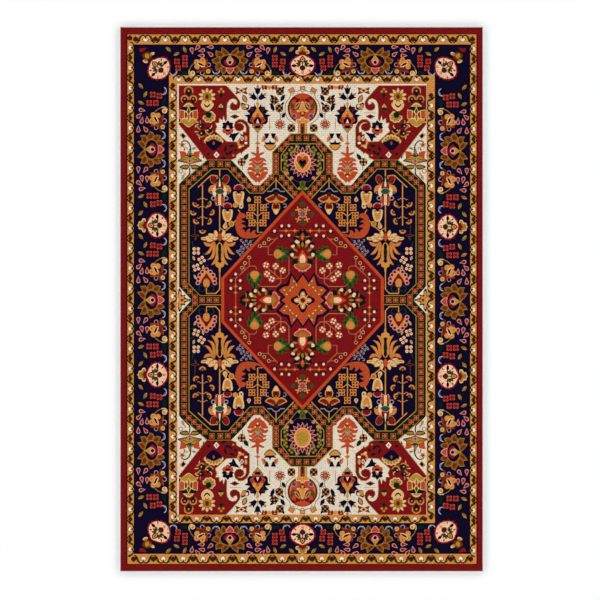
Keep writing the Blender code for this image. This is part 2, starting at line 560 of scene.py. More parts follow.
def cornerSmallFlowers():
    # bell and bud on a hanging stem
    shapes = stripe("maroon", [(-270, 684), (-270, 640)], 2)
    shapes += leaf("deepGreen", -270, 680, 18, 13, 90)
    for x, y in ((-277, 692), (-263, 692), (-270, 700)):
        shapes += circle("rust", x, y, 6.5, 8) + circle("amber", x, y, 4.2, 7)
    shapes += drop("sand", -271, 642, 19, 15, 90) + drop("mustard", -271, 643, 14, 10, 90)
    shapes += curvy("deepGreen", (-280, 638), (-262, 638), (-264, 632), (-271, 629), (-278, 632))
    # a spray of small blossoms
    shapes += vine("maroon", [(-352, 568), (-342, 556), (-338, 530), (-330, 505), (-322, 490)], 2.4)
    for x, y, r in ((-335, 578, 8), (-332, 555, 9.5), (-311, 565, 9.5)):
        shapes += oval("maroon", x + 1, y - 1, r + 2.5, r + 1) + oval("inkGreen", x, y, r, r * 0.9, 30)
        shapes += circle("sand", x - r * 0.4, y - 1.5, r * 0.28, 6)
    shapes += vine("amber", [(-351, 576), (-344, 570), (-339, 564)], 5.5, 2.5)
    shapes += vine("amber", [(-352, 551), (-346, 548), (-336, 541), (-326, 546)], 5, 3)
    shapes += vine("amber", [(-322, 565), (-319, 556), (-311, 551), (-302, 555), (-297, 562)], 5.5, 3)
    for path in ([(-356, 574), (-352, 581), (-345, 583)], [(-358, 559), (-346, 559)],
                 [(-308, 569), (-302, 574), (-302, 581)], [(-344, 542), (-341, 533)]):
        shapes += vine("sand", path, 3.6, 2)
    shapes += leaf("ash", -339, 591, 14, 3.4, 95) + leaf("olive", -320, 548, 10, 4, 60)
    # the large fan
    for i in range(7):
        a = 18 + 24 * i
        x, y = -295 + 25 * cos(radians(a)), 520 + 21 * sin(radians(a))
        shapes += oval("sand", x, y, 9, 7.5, a)
        shapes += oval("gold", x - 3 * cos(radians(a)), y - 3 * sin(radians(a)), 7, 5, a)
    shapes += curvy("navy", (-322, 523), (-312, 527), (-295, 534), (-278, 527), (-266, 522), (-277, 508),
                    (-295, 496), (-312, 508))
    shapes += leaf("brick", -295, 521, 14, 8, 90)
    for x, y, length, turn in ((-256, 502, 26, 75), (-234, 512, 22, 20), (-240, 489, 24, 45),
                               (-262, 471, 20, -10), (-252, 486, 14, 120), (-222, 498, 12, 60),
                               (-312, 485, 14, 30)):
        shapes += leaf("inkGreen", x, y, length, 9, turn)
    shapes += patch("white", (-295, 482), (-286, 493), (-276, 482), (-286, 471))
    shapes += patch("mustard", (-290, 482), (-286, 488), (-281, 482), (-286, 476))
    shapes += oval("ochre", -188, 537, 5, 9) + oval("white", -201, 536, 5, 7.5)
    shapes += oval("ink", -201, 536, 2.5, 5)
    shapes += vine("ochre", [(-212, 531), (-214, 520), (-206, 512), (-194, 513)], 7)
    shapes += oval("white", -188, 521, 5.5, 4)
    shapes += oval("sand", -208, 508, 6, 4.5, 30) + circle("amber", -230, 480, 3.5, 7)
    return shapes


# ornaments on the cream ground

def creamOrnaments():
    shapes = sideTriangle() + navyTulips() + navyPalmette() + orangeTree() + berryPlant()
    # bow with a red eye
    shapes += curvy("rust", (-223, 706), (-204, 701), (-183, 706), (-187, 695), (-183, 683), (-204, 688),
                    (-223, 683), (-219, 695))
    shapes += patch("sand", (-218, 695), (-203, 703), (-188, 695), (-203, 687))
    shapes += patch("red", (-210, 695), (-203, 700), (-196, 695), (-203, 690))
    # leaf pair
    shapes += leaf("navy", -192, 668, 30, 17, 115) + leaf("amber", -192, 668, 23, 11, 115)
    shapes += curvy("ink", (-203, 655), (-192, 652), (-178, 648), (-178, 634), (-188, 631), (-202, 634))
    shapes += curvy("amber", (-202, 648), (-194, 649), (-186, 640), (-190, 634), (-202, 634))
    shapes += curvy("cream", (-189, 650), (-181, 646), (-182, 639), (-188, 642))
    # lozenge
    shapes += patch("rust", (-241, 609), (-225, 617), (-209, 609), (-225, 601))
    shapes += patch("navy", (-232, 609), (-225, 613), (-218, 609), (-225, 605))
    shapes += stripe("tan", [(-243, 622), (-206, 622)], 1.4)
    # navy bloom with an orange skirt
    for x, y in ((-258, 562), (-248, 555), (-238, 562)):
        shapes += circle("orange", x, y, 9, 9)
    for a in (90, 30, 150, 200, -20):
        shapes += leaf("navy", -248 + 11 * cos(radians(a)), 578 + 9 * sin(radians(a)), 20, 14, a)
    shapes += circle("ochre", -248, 576, 4.5, 7)
    shapes += oval("navy", -248, 563, 8, 4)
    shapes += curvy("navy", (-246, 556), (-232, 552), (-208, 557), (-220, 543), (-226, 530), (-232, 527),
                    (-236, 538), (-246, 540), (-240, 548))
    # stem and small flower above the tree
    shapes += stripe("umber", [(-149, 551), (-149, 505)], 2.6)
    shapes += star("amber", -149, 520, 11, 5, 4, 90) + circle("brick", -149, 520, 3.4, 7)
    # three-part bloom
    half = patch("navy", (2, 34), (20, 34), (14, 16), (8, 18))
    half += curvy("amber", (13, 16), (21, 27), (28, 14), (27, 6), (19, 8))
    half += curvy("brick", (14, 17), (18, 22), (22, 12), (19, 10))
    half += curvy("navy", (0, 13), (5, 4), (19, 5), (13, -3), (0, -4))
    shapes += place(bothSides(half) + curvy("rust", (-18, -3), (18, -3), (17, -12), (7, -21), (0, -23),
                                            (-7, -21), (-17, -12))
                    + curvy("ochre", (-15, -4), (15, -4), (14, -11), (0, -20), (-14, -11)), -108, 519)
    shapes += stripe("tan", [(-109, 603), (-109, 566)], 2.2)
    # snowflake
    shapes += star("rust", -75, 583, 19, 9, 8, 22.5) + star("orange", -75, 583, 14, 6, 8, 22.5)
    for i in range(8):
        shapes += place(circle("inkGreen", 15, 0, 2.4, 6), -75, 583, 45 * i)
    shapes += circle("amber", -75, 583, 3, 6)
    # chequered bloom by the medallion
    shapes += checkBloom(-37, 571, 12.6, 0)
    # clover with a leaf
    shapes += circle("navy", -202, 458, 13.5) + leaf("deepGreen", -188, 474, 30, 14, 55)
    for u in (-6, 6):
        for v in (-6, 6):
            shapes += circle("ochre", -202 + u, 458 + v, 4.3, 7)
    shapes += stripe("umber", [(-200, 446), (-200, 432)], 2.2)
    # edging along the top
    shapes += patch("red", (-137, 713), (-120, 713), (-116, 703), (-122, 696), (-126, 702), (-130, 697),
                    (-136, 704))
    shapes += patch("red", (-83, 713), (-100, 713), (-104, 703), (-98, 696), (-94, 702), (-90, 697),
                    (-84, 704))
    shapes += patch("ochre", (-119, 711), (-101, 711), (-103, 703), (-110, 698), (-117, 703))
    shapes += leaf("green", -131, 700, 9, 4, 60) + leaf("green", -89, 700, 9, 4, 120)
    shapes += circle("ochre", -128, 708, 3, 6) + circle("ochre", -92, 708, 3, 6)
    shapes += curvy("amber", (-46, 697), (-38, 704), (-27, 698), (-30, 689), (-42, 688))
    shapes += patch("amber", (-8, 710), (8, 710), (8, 698), (-8, 698))
    return shapes


def checkBloom(x, y, r, turn=0):
    # a dark rounded square with gold dots
    shapes = curvy("maroon", (-r, -r * 0.6), (-r * 0.6, -r), (r * 0.6, -r), (r, -r * 0.6), (r, r * 0.6),
                   (r * 0.6, r), (-r * 0.6, r), (-r, r * 0.6), steps=1)
    for i in (-1, 0, 1):
        for j in (-1, 0, 1):
            ink = "mustard" if (i + j) % 2 == 0 else "navy"
            shapes += circle(ink, i * r * 0.58, j * r * 0.58, r * 0.25, 6)
    return place(shapes, x, y, turn)


def sideTriangle():
    # lily, tulips and a hooked stem beside the guard stripe
    shapes = vine("ink", [(-372, 480), (-371, 500), (-375, 517), (-386, 528), (-398, 527), (-402, 520)], 4)
    shapes += vine("ink", [(-375, 440), (-375, 419), (-388, 405), (-401, 391), (-407, 384)], 4)
    half = curvy("ink", (0, -10), (10, -7), (24, -3), (41, 1), (32, 9), (24, 17), (13, 23), (5, 21), (0, 12))
    half += curvy("mustard", (2, -6), (10, -4), (22, 0), (35, 2), (27, 9), (19, 15), (11, 19), (5, 16),
                  (2, 8))
    half += leaf("gold", 22, 5, 24, 7, -14) + stripe("ink", [(4, 12), (20, 6), (33, 2)], 1.2)
    half += curvy("ink", (2, -14), (14, -10), (28, -13), (35, -19), (22, -26), (8, -26))
    half += curvy("gold", (4, -16), (14, -13), (27, -16), (30, -19), (20, -23), (8, -22))
    half += curvy("orange", (11, 27), (20, 33), (35, 34), (32, 26), (30, 12), (19, 13))
    half += leaf("blush", 11.5, -3, 19, 7.5, 42) + leaf("darkRed", 12, -2.5, 15, 4.6, 42)
    half += ring("slate", 13, 42, 4.2, 1.6, 0, 250, 8) + leaf("ink", 7, 24, 12, 3, 70)
    shapes += place(bothSides(half) + leaf("ink", 0, 29, 30, 11, 90) + leaf("gold", 0, 31, 22, 7, 90)
                    + circle("ink", 0, 18, 3.4, 7) + circle("blush", 0, 10, 4.6, 8)
                    + circle("darkRed", 0, 10, 2.6, 6) + stripe("blush", [(0, -3), (0, -18)], 5)
                    + stripe("darkRed", [(0, -4), (0, -16)], 3), -374, 460)
    shapes += star("amber", -399, 515, 13, 6, 5, 90) + star("rust", -399, 515, 6, 3, 5, 90)
    shapes += patch("amber", (-409, 549), (-398, 556), (-386, 545), (-396, 533))
    shapes += patch("navy", (-403, 547), (-397, 553), (-388, 544), (-396, 536))
    shapes += leaf("umber", -392, 500, 14, 4, 70) + leaf("umber", -359, 503, 16, 4, 20)
    shapes += leaf("umber", -329, 475, 16, 5, 110)
    shapes += ring("umber", -404, 428, 6.5, 2) + leaf("tan", -335, 484, 12, 3.5, 140)
    shapes += leaf("umber", -397, 408, 20, 9, 65) + leaf("ochre", -397, 408, 15, 6, 65)
    shapes += leaf("amber", -390, 420, 13, 5, 80)
    # the flower at mid-height
    shapes += curvy("ink", (-411, 38), (-402, 30), (-400, 16), (-388, 18), (-390, 8), (-368, 1),
                    (-368, -1), (-411, -1))
    shapes += curvy("ochre", (-409, 30), (-403, 24), (-404, 12), (-391, 13), (-394, 5), (-378, 1),
                    (-378, -1), (-411, -1))
    shapes += circle("rust", -400, 0, 5, 8)
    return shapes


def navyTulips():
    bud = curvy("navy", (-9, 0), (-6, -12), (0, -15), (6, -12), (9, 0), (12, 8), (4, 5), (0, 9), (-4, 5),
                (-12, 8))
    bud += drop("umber", 0, 12, 13, 8, 90) + drop("amber", 0, 11, 9, 5, 90)
    shapes = stripe("umber", [(-149, 690), (-149, 660)], 2) + stripe("umber", [(-161, 668), (-138, 668)], 2)
    shapes += place(bud, -149, 698) + place(bud, -165, 676, 50) + place(bud, -133, 676, -50)
    return shapes


def navyPalmette():
    half = patch("navy", (1.5, 34), (6, 43), (12, 54), (11, 44), (16, 42), (24, 42), (26, 33), (37, 29),
                 (28, 20), (26, 17), (45, 14), (34, 7), (34, -8), (28, -16), (0, -17), (0, 10))
    half += patch("maroon", (14, 38), (23, 39), (25, 32), (18, 24), (12, 30))
    half += curvy("orange", (8, 14), (17, 12), (22, 3), (26, -4), (20, -10), (11, -14), (14, -6), (9, 2),
                  (5, 8))
    half += curvy("orange", (0, -16), (14, -15), (19, -19), (17, -24), (8, -22), (0, -22))
    half += leaf("darkRed", 19, -1, 14, 4, -60)
    shapes = bothSides(half)
    shapes += curvy("ochre", (0, 58), (4.5, 54), (4, 47), (2.2, 39), (5, 33), (9, 25), (16, 17), (18, 9),
                    (12, 7), (0, 9), (-12, 7), (-18, 9), (-16, 17), (-9, 25), (-5, 33), (-2.2, 39),
                    (-4, 47), (-4.5, 54))
    shapes += curvy("orangeRed", (0, 20), (5, 14), (5.5, 7), (0, 4), (-5.5, 7), (-5, 14))
    shapes += curvy("navy", (0, 10), (5, 2), (12, -4), (10, -12), (0, -13), (-10, -12), (-12, -4), (-5, 2))
    shapes += patch("peach", (0, 2), (3, -6), (5.5, -13), (-5.5, -13), (-3, -6))
    shapes += curvy("navy", (-11, -23), (0, -21), (11, -23), (7, -29), (0, -31), (-7, -29))
    shapes += patch("olive", (-18, -25), (-13, -24), (0, -33), (13, -24), (18, -25), (0, -47))
    shapes += patch("amber", (-14, -28), (0, -36), (14, -28), (0, -43))
    return place(shapes, -149, 600)


def orangeTree():
    half = curvy("coral", (0, 111), (4.5, 108), (4.5, 93), (12, 95), (23, 96), (18, 89), (8, 84), (8, 79),
                 (18, 77), (27, 71), (29, 65), (20, 66), (17, 62), (26, 60), (30, 53), (20, 53), (17, 47),
                 (28, 47), (34, 40), (34, 34), (24, 37), (20, 31), (30, 32), (35, 27), (30, 22), (24, 11),
                 (12, 2), (0, 0), steps=2)
    for x, y in ((2, 62), (6, 52), (8, 40), (11, 28)):
        half += stripe("sand", [(x, y), (x + 13, y + 10)], 1.6, 0.6)
        half += stripe("brick", [(x + 1, y + 5), (x + 12, y + 13)], 1.8)
    shapes = bothSides(half) + stripe("rustRed", [(0, 104), (0, 84)], 3)
    shapes += curvy("ash", (-7, 46), (0, 54), (7, 46), (6, 40), (-6, 40))
    shapes += curvy("gold", (-8, 39), (0, 41), (8, 39), (5, 30), (-5, 30))
    shapes += bothSides(leaf("peach", 8, 26, 10, 3.4, -60) + leaf("maroon", 5, 20, 7, 4, 20))
    shapes += circle("peach", 0, 15, 3.6, 8) + circle("maroon", 0, 22, 2.4, 6)
    return place(shapes, -149, 395)


def berryPlant():
    shapes = vine("umber", [(-74, 597), (-74, 618), (-84, 628), (-100, 640)], 2)
    shapes += vine("umber", [(-76, 652), (-86, 656), (-70, 664), (-66, 678)], 2)
    shapes += stripe("umber", [(-74, 616), (-62, 624)], 1.8)
    for x, y, turn in ((-75, 693, 0), (-94, 663, 40), (-77, 637, 5)):
        shapes += checkBloom(x, y, 12.6, turn)
    for x, y, length, width, turn in ((-64, 704, 14, 8, 60), (-102, 676, 15, 9, 130),
                                      (-66, 671, 28, 13, 60), (-100, 640, 32, 13, 110),
                                      (-66, 652, 14, 8, 40), (-63, 613, 22, 12, 60),
                                      (-106, 650, 12, 5, 0)):
        shapes += leaf("navy", x, y, length, width, turn)
    return shapes


def roundMedallion():
    # the orange disc near each end of the field, on its column
    line = stripe("ink", smoothPath([(-24, -53), (-47, -36), (-56, -18), (-58, 2), (-53, 22), (-43, 34)]),
                  1.8)
    line += stripe("ink", [(-43, 33), (-40, 49), (-29, 48), (-26, 57), (-17, 56), (-12, 61), (-5, 58),
                           (0, 53)], 1.8)
    disc = oval("sand", 0, 0, 51.5, 51.5, corners=26) + oval("ink", 0, 0, 49.5, 49.5, corners=26)
    disc += oval("maroon", 0, 0, 47.6, 48, corners=26) + oval("orangeRed", 0, 0, 45, 45.5, corners=24)
    half = curvy("darkRed", (0, 36), (-12, 42), (-30, 36), (-36, 26), (-24, 20), (-10, 20), (0, 28))
    half += curvy("orangeRed", (0, 47), (-14, 45), (-25, 39), (-16, 34), (-6, 31), (0, 30))
    half += oval("brown", -32, 10, 9, 18, 14) + oval("orangeRed", -28, 20, 6.5, 9, 30)
    for x, y in ((-38, 16), (-40, 5), (-36, -5), (-31, 4), (-24, 29)):
        half += circle("olive", x, y, 2.2, 6)
    half += patch("darkRed", (-6, 16), (-11, 7), (-23, -9), (-9, -6))
    half += leaf("sand", -18, 11, 31, 9.5, 54) + leaf("green", -18, 11, 26, 6.4, 54)
    half += patch("sand", (0, 24), (-6, 20), (-6, 12), (-12, -3), (-20, -7), (-18, -12), (-6, -12), (0, -14))
    half += patch("ochre", (0, 22), (-4, 18), (-4, 11), (-9, -3), (-15, -7), (-14, -10), (-5, -10), (0, -12))
    half += circle("olive", -5.5, 27, 3.4, 6) + circle("ink", -3.4, 29, 1.6, 6)
    half += leaf("ink", -6, -12.5, 9, 3.4, 20) + patch("maroon", (0, -22), (-5, -28), (0, -32))
    half += circle("ash", -28, -25, 8.8, 10) + circle("maroon", -28, -25, 6.2, 8)
    half += circle("slate", -27, -26, 4, 7)
    half += vine("ash", [(-35, -22), (-39.5, -12), (-38, -2)], 2.4)
    half += curvy("darkRed", (-44, -18), (-38, -32), (-26, -42), (-17, -47), (-19, -40), (-36, -27))
    half += curvy("peach", (0, -29), (-6, -30), (-8, -35), (-21, -36), (-22, -46), (-18, -50), (0, -50))
    half += curvy("ochre", (0, -31), (-4, -32), (-6, -37), (-19, -38), (-19, -46), (-15, -49), (0, -49))
    for ink, edge, top in (("brick", 15, -49), ("sand", 13, -49), ("ochre", 11, -49),
                           ("maroon", 6.6, -50), ("brick", 3.4, -52), ("navy", 2.2, -60)):
        half += patch(ink, (-edge, top), (0, top), (0, -84), (-edge, -84))
    bulb = circle("ink", 0, -17.5, 7.2, 8) + circle("ochre", 0, -16.5, 5, 8)
    tabs = patch("brick", (-9, 74), (9, 74), (9, 61), (-9, 61))
    tabs += patch("ochre", (-6.5, 72), (6.5, 72), (6.5, 63), (-6.5, 63))
    for ink, wide, tall in (("brick", 10, 7), ("amber", 7.6, 5)):
        tabs += bothSides(place(patch(ink, (-wide, -tall), (wide, -tall), (wide, tall), (-wide, tall)),
                                -37, 61, 30))
    return place(bothSides(line) + disc + bothSides(half) + bulb + tabs, 0, 636)


# the small navy octagon at each end of the hexagon; its heart is only at the upper end

def wreath():
    shapes = []
    for i in range(18):
        a = 20 * i + 10
        x, y = 37 * cos(radians(a)), 457 + 41 * sin(radians(a))
        shapes += place(drop("blush", 0, 0, 22, 13, 0), x, y, a)
        shapes += place(drop("darkRed", -1, 0, 16.5, 9.2, 0), x, y, a)
    return shapes + oval("sand", 0, 457, 28, 33.5, 0, 22) + oval("amber", 0, 456, 24.5, 30, 0, 20)


def wreathHeart():
    shapes = heart("peach", 0, 456, 47, 54) + heart("orangeRed", 0, 456, 42, 49)
    shapes += heart("brick", 0, 456, 36, 42)
    shapes += heart("coral", 0, 457, 33, 38) + heart("ink", 0, 453, 25, 27)
    shapes += curvy("deepGreen", (-9, 454), (0, 451), (9, 454), (0, 440))
    shapes += bothSides(circle("orangeRed", 8, 470, 4, 8)) + circle("brick", 0, 465, 3.4, 7)
    return shapes


def wreathDisc():
    return circle("ochre", 0, 456, 24, 18) + circle("mustard", 0, 456, 19, 16)


def garland():
    # dotted leaves round the wreath, and the little bloom on the hexagon's point
    shapes = vine("olive", [(-66, 466), (-57, 480), (-62, 440), (-56, 424), (-44, 408)], 2)
    for x, y in ((-60, 480), (-52, 486), (-55, 474), (-62, 466), (-53, 462), (-57, 452), (-50, 446),
                 (-60, 438), (-52, 432), (-57, 424), (-43, 498), (-36, 506), (-33, 492), (-25, 500),
                 (-20, 514), (-14, 508), (-38, 488)):
        shapes += circle("olive", x, y, 5.6, 7) + circle("mustard", x, y, 3.0, 6)
    shapes += oval("blush", -21, 508, 4, 2.5, 40) + oval("blush", -68, 464, 2, 4)
    shapes += vine("blush", [(-62, 430), (-56, 415), (-44, 404), (-38, 396)], 2)
    shapes += circle("amber", -51, 421, 6, 9) + circle("amber", -36, 405, 6, 9)
    shapes += vine("umber", [(-34, 404), (-20, 394), (0, 392)], 2)
    shapes += curvy("olive", (-10, 392), (0, 394), (0, 366), (-14, 366), (-16, 374), (-8, 378))
    shapes += circle("green", 0, 384, 6, 8) + circle("green", -5, 374, 4, 7)
    shapes += circle("mustard", -11, 370, 4.5, 7)
    return shapes


# navy panels

def largeLotus():
    half = oval("mustard", 20, 2, 12, 17, -22) + oval("navy", 20, 2, 10.3, 15, -22)
    half += oval("red", 20.5, 2, 7.6, 12.5, -22)
    half += curvy("amber", (8, -14), (22, -16), (32, -20), (38, -34), (32, -46), (26, -40), (24, -30),
                  (18, -26), (10, -24))
    half += curvy("peach", (12, -20), (19, -24), (24, -32), (24, -46), (18, -54), (12, -50))
    half += circle("ink", 29, -43, 6, 8) + circle("ash", 29, -43, 3, 6)
    half += patch("orangeRed", (8, -54), (15, -54), (17, -66), (15, -80), (8, -82))
    half += circle("ash", 21, -60, 8, 9) + circle("ink", 21, -60, 4.8, 8)
    half += circle("blush", 8, -80, 5.5, 8) + circle("ink", 8, -81, 2.8, 6)
    half += patch("peach", (0, -40), (5, -44), (5, -80), (0, -84))
    half += patch("rust", (5, -50), (9, -50), (9, -84), (5, -80))
    shapes = bothSides(half)
    shapes += curvy("red", (-13, -28), (-11, -14), (0, 6), (11, -14), (13, -28), (0, -36))
    shapes += curvy("deepGreen", (-5, 8), (0, 13), (5, 8), (11, -4), (0, -8), (-11, -4))
    shapes += drop("cream", 0, -6, 32, 7, 90)
    shapes += curvy("ash", (-16, -38), (-10, -29), (0, -26), (10, -29), (16, -38), (9, -46), (0, -48),
                    (-9, -46))
    shapes += curvy("green", (-14, -38), (-9, -31), (0, -28), (9, -31), (14, -38), (9, -44), (0, -46),
                    (-9, -44))
    shapes += patch("sand", (-2.5, -46), (2.5, -46), (2.5, -78), (-2.5, -78))
    return shapes


def bellFlower():
    shapes = []
    for a in (0, 36, 72, 108, 144, 180):
        shapes += circle("blush", 11 * cos(radians(a)), 20 + 8 * sin(radians(a)), 4.6, 7)
        shapes += circle("darkRed", 10 * cos(radians(a)), 19.5 + 7 * sin(radians(a)), 3.6, 7)
    shapes += curvy("darkRed", (-11, 19), (-7, 26), (0, 29), (7, 26), (11, 19), (0, 13))
    shapes += curvy("sand", (-17, 6), (-9, 10), (-4, 5), (0, 2), (4, 5), (9, 10), (17, 6), (15, -14),
                    (9, -27), (0, -31), (-9, -27), (-15, -14))
    shapes += curvy("amber", (-10, 0), (0, -4), (10, 0), (9, -14), (4, -24), (-4, -24), (-9, -14))
    shapes += circle("gold", -8, 4, 4, 7) + circle("gold", 8, 4, 4, 7)
    return shapes


def berryTree():
    shapes = stripe("ochre", [(-149, 322), (-149, 225), (-133, 225)], 3.6)
    shapes += stripe("ochre", [(-166, 292), (-149, 278), (-132, 292)], 2.6)
    shapes += stripe("ochre", [(-165, 268), (-149, 252), (-132, 268)], 2.6)
    for x, y in ((-149, 333), (-168, 307), (-130, 307), (-175, 281), (-122, 281), (-168, 256), (-131, 256)):
        shapes += place(curvy("ochre", (-11, -11), (0, -10), (11, -11), (10, 0), (11, 11), (0, 10),
                              (-11, 11), (-10, 0)) + [s for u in (-5, 5) for v in (-5, 5)
                for s in circle("darkRed", u, v, 3.9, 8)] + circle("orange", 0, 0, 1.8, 6), x, y)
    return shapes


def acanthus():
    shapes = curvy("coral", (-222, 262), (-217, 279), (-206, 289), (-193, 287), (-187, 277), (-196, 272),
                   (-205, 270), (-198, 264), (-190, 260), (-199, 258), (-204, 254), (-194, 249),
                   (-187, 243), (-196, 241), (-201, 237), (-193, 232), (-190, 224), (-186, 229),
                   (-178, 237), (-174, 236), (-176, 226), (-171, 223), (-164, 231), (-156, 232),
                   (-158, 222), (-152, 216), (-144, 219), (-136, 220), (-148, 210), (-168, 205),
                   (-194, 205), (-209, 213), (-219, 228), (-223, 244), steps=2)
    for x, y, turn in ((-206, 263, 20), (-206, 249, 15), (-201, 234, -15), (-186, 219, -60),
                       (-168, 215, -70)):
        shapes += leaf("brick", x, y, 17, 3.6, turn)
    return shapes


def paleSprig():
    shapes = vine("slate", [(-160, 203), (-176, 190), (-192, 172), (-208, 160)], 2.4)
    for x, y in ((-203, 198), (-196, 190), (-186, 196), (-190, 182), (-178, 186), (-172, 194),
                 (-182, 174), (-194, 170), (-202, 176), (-206, 166), (-198, 158), (-212, 158),
                 (-206, 150), (-216, 162), (-170, 182)):
        shapes += ring("lilac", x, y, 3.4, 2.4, 20, 300, 7) + circle("palePink", x - 2, y + 2, 1.6, 5)
    return shapes


def goldPalmette():
    # cream petals over long gold fronds
    half = []
    for x, y, length, turn in ((12, 36, 22, 75), (26, 30, 24, 20), (38, 23, 22, -6), (44, 20, 30, -8),
                               (30, 14, 26, -14), (16, 20, 26, 6)):
        half += oval("brick", x + 1, y - 1, length / 2 + 1, 7, turn)
        half += oval("sand", x, y, length / 2, 5.5, turn)
    half += circle("maroon", 22, 24, 2.2, 6) + circle("maroon", 34, 24, 2.0, 6)
    half += circle("maroon", 12, 22, 2.2, 6)
    half += curvy("sand", (42, 22), (60, 24), (60, 16), (44, 15))
    half += curvy("mustard", (46, 21), (57, 22), (57, 18), (46, 17))
    fronds = (((18, 10), (30, 2), (40, 4), (52, 8), (46, -4), (34, -7), (22, -2)),
              ((16, 8), (26, -2), (34, -16), (42, -26), (48, -34), (34, -30), (26, -18), (20, -6)),
              ((14, 6), (22, -10), (24, -28), (30, -42), (40, -51), (24, -47), (17, -36), (15, -14)),
              ((9, 4), (14, -14), (13, -36), (18, -52), (27, -68), (10, -60), (4, -48), (6, -28), (7, -8)))
    for frond in fronds:
        half += curvy("brick", *[(x * 1.03 + 0.8, y * 1.02) for x, y in frond]) + curvy("amber", *frond)
    shapes = bothSides(half)
    shapes += curvy("ink", (-12, 14), (0, 20), (12, 14), (11, 0), (5, -20), (5, -40), (0, -62), (-5, -40),
                    (-5, -20), (-11, 0))
    shapes += bothSides(vine("ochre", [(0, 5), (5, 2), (7, -8), (6, -20)], 3))
    shapes += leaf("deepGreen", 0, -28, 38, 7, 90)
    shapes += curvy("rust", (0, 42), (6, 30), (8, 18), (0, 8), (-8, 18), (-6, 30))
    shapes += curvy("coral", (0, 38), (5, 28), (6, 18), (0, 11), (-6, 18), (-5, 28))
    shapes += curvy("ochre", (-14, -62), (-6, -58), (0, -62), (6, -58), (14, -62), (12, -74), (4, -78),
                    (3, -90), (-3, -90), (-4, -78), (-12, -74))
    return place(shapes, -275, 185)


def goldCurls():
    # a thin tree of open curls at the panel's outer side
    shapes = stripe("ochre", [(-332, 383), (-332, 247)], 3.6)
    shapes += stripe("ochre", [(-347, 374), (-305, 414), (-284, 413), (-281, 404)], 3.4)
    shapes += vine("inkGreen", [(-346, 372), (-357, 362), (-358, 342), (-352, 344)], 2.2)
    shapes += vine("inkGreen", [(-344, 368), (-346, 352), (-350, 345)], 2)
    for y in (332, 305, 270):
        shapes += place(bothSides(vine("amber", [(0, 2), (5, 6), (12, 1), (17, 3)], 2)), -332, y)
    for x, y, turn in ((-354, 320, 150), (-313, 320, 235), (-362, 292, 150), (-303, 292, 235),
                       (-352, 263, 140), (-312, 262, 245), (-332, 231, 175)):
        shapes += ring("rust", x, y, 8.5, 7.5, turn, 190, 10) + ring("amber", x, y, 8.5, 4.8, turn, 190, 10)
        shapes += circle("gold", x, y + 1, 2.6, 6)
    shapes += stripe("umber", [(-358, 248), (-357, 218)], 2.2)
    shapes += leaf("umber", -357, 214, 32, 9) + leaf("navy", -357, 214, 22, 4)
    shapes += leaf("umber", -355, 204, 16, 6, 60)
    return shapes


def roundPetals(x, y, turn, reach=8.5, r=5.6):
    shapes = []
    for a in (45, 135, 225, 315):
        px, py = x + reach * cos(radians(a + turn)), y + reach * sin(radians(a + turn))
        shapes += circle("peach", px, py, r, 8) + circle("ochre", px, py, r * 0.45, 6)
    for a in (0, 90, 180, 270):
        shapes += circle("maroon", x + reach * 0.7 * cos(radians(a + turn)), y
                         + reach * 0.7 * sin(radians(a + turn)), 2.1, 6)
    return shapes


def archFlower():
    # a chevron of red beads over a gold ball
    shapes = curvy("ochre", (-30, -8), (-22, 14), (-8, 34), (0, 38), (8, 34), (22, 14), (30, -8),
                   (16, -4), (8, 12), (0, 22), (-8, 12), (-16, -4))
    shapes += curvy("darkRed", (-20, -10), (-14, 4), (-5, 15), (0, 18), (5, 15), (14, 4), (20, -10),
                    (10, -8), (-10, -8))
    beads = ((0, 35), (-13, 27), (13, 27), (-22, 17), (22, 17), (-27, 4), (27, 4), (-28, -9), (28, -9))
    for x, y in beads:
        shapes += circle("blush", x, y, 7.8, 9)
    for x, y in beads:
        shapes += circle("darkRed", x, y, 5.2, 8)
    shapes += curvy("amber", (-11, -10), (-7, 2), (0, 5), (7, 2), (11, -10), (8, -20), (0, -25), (-8, -20))
    return shapes


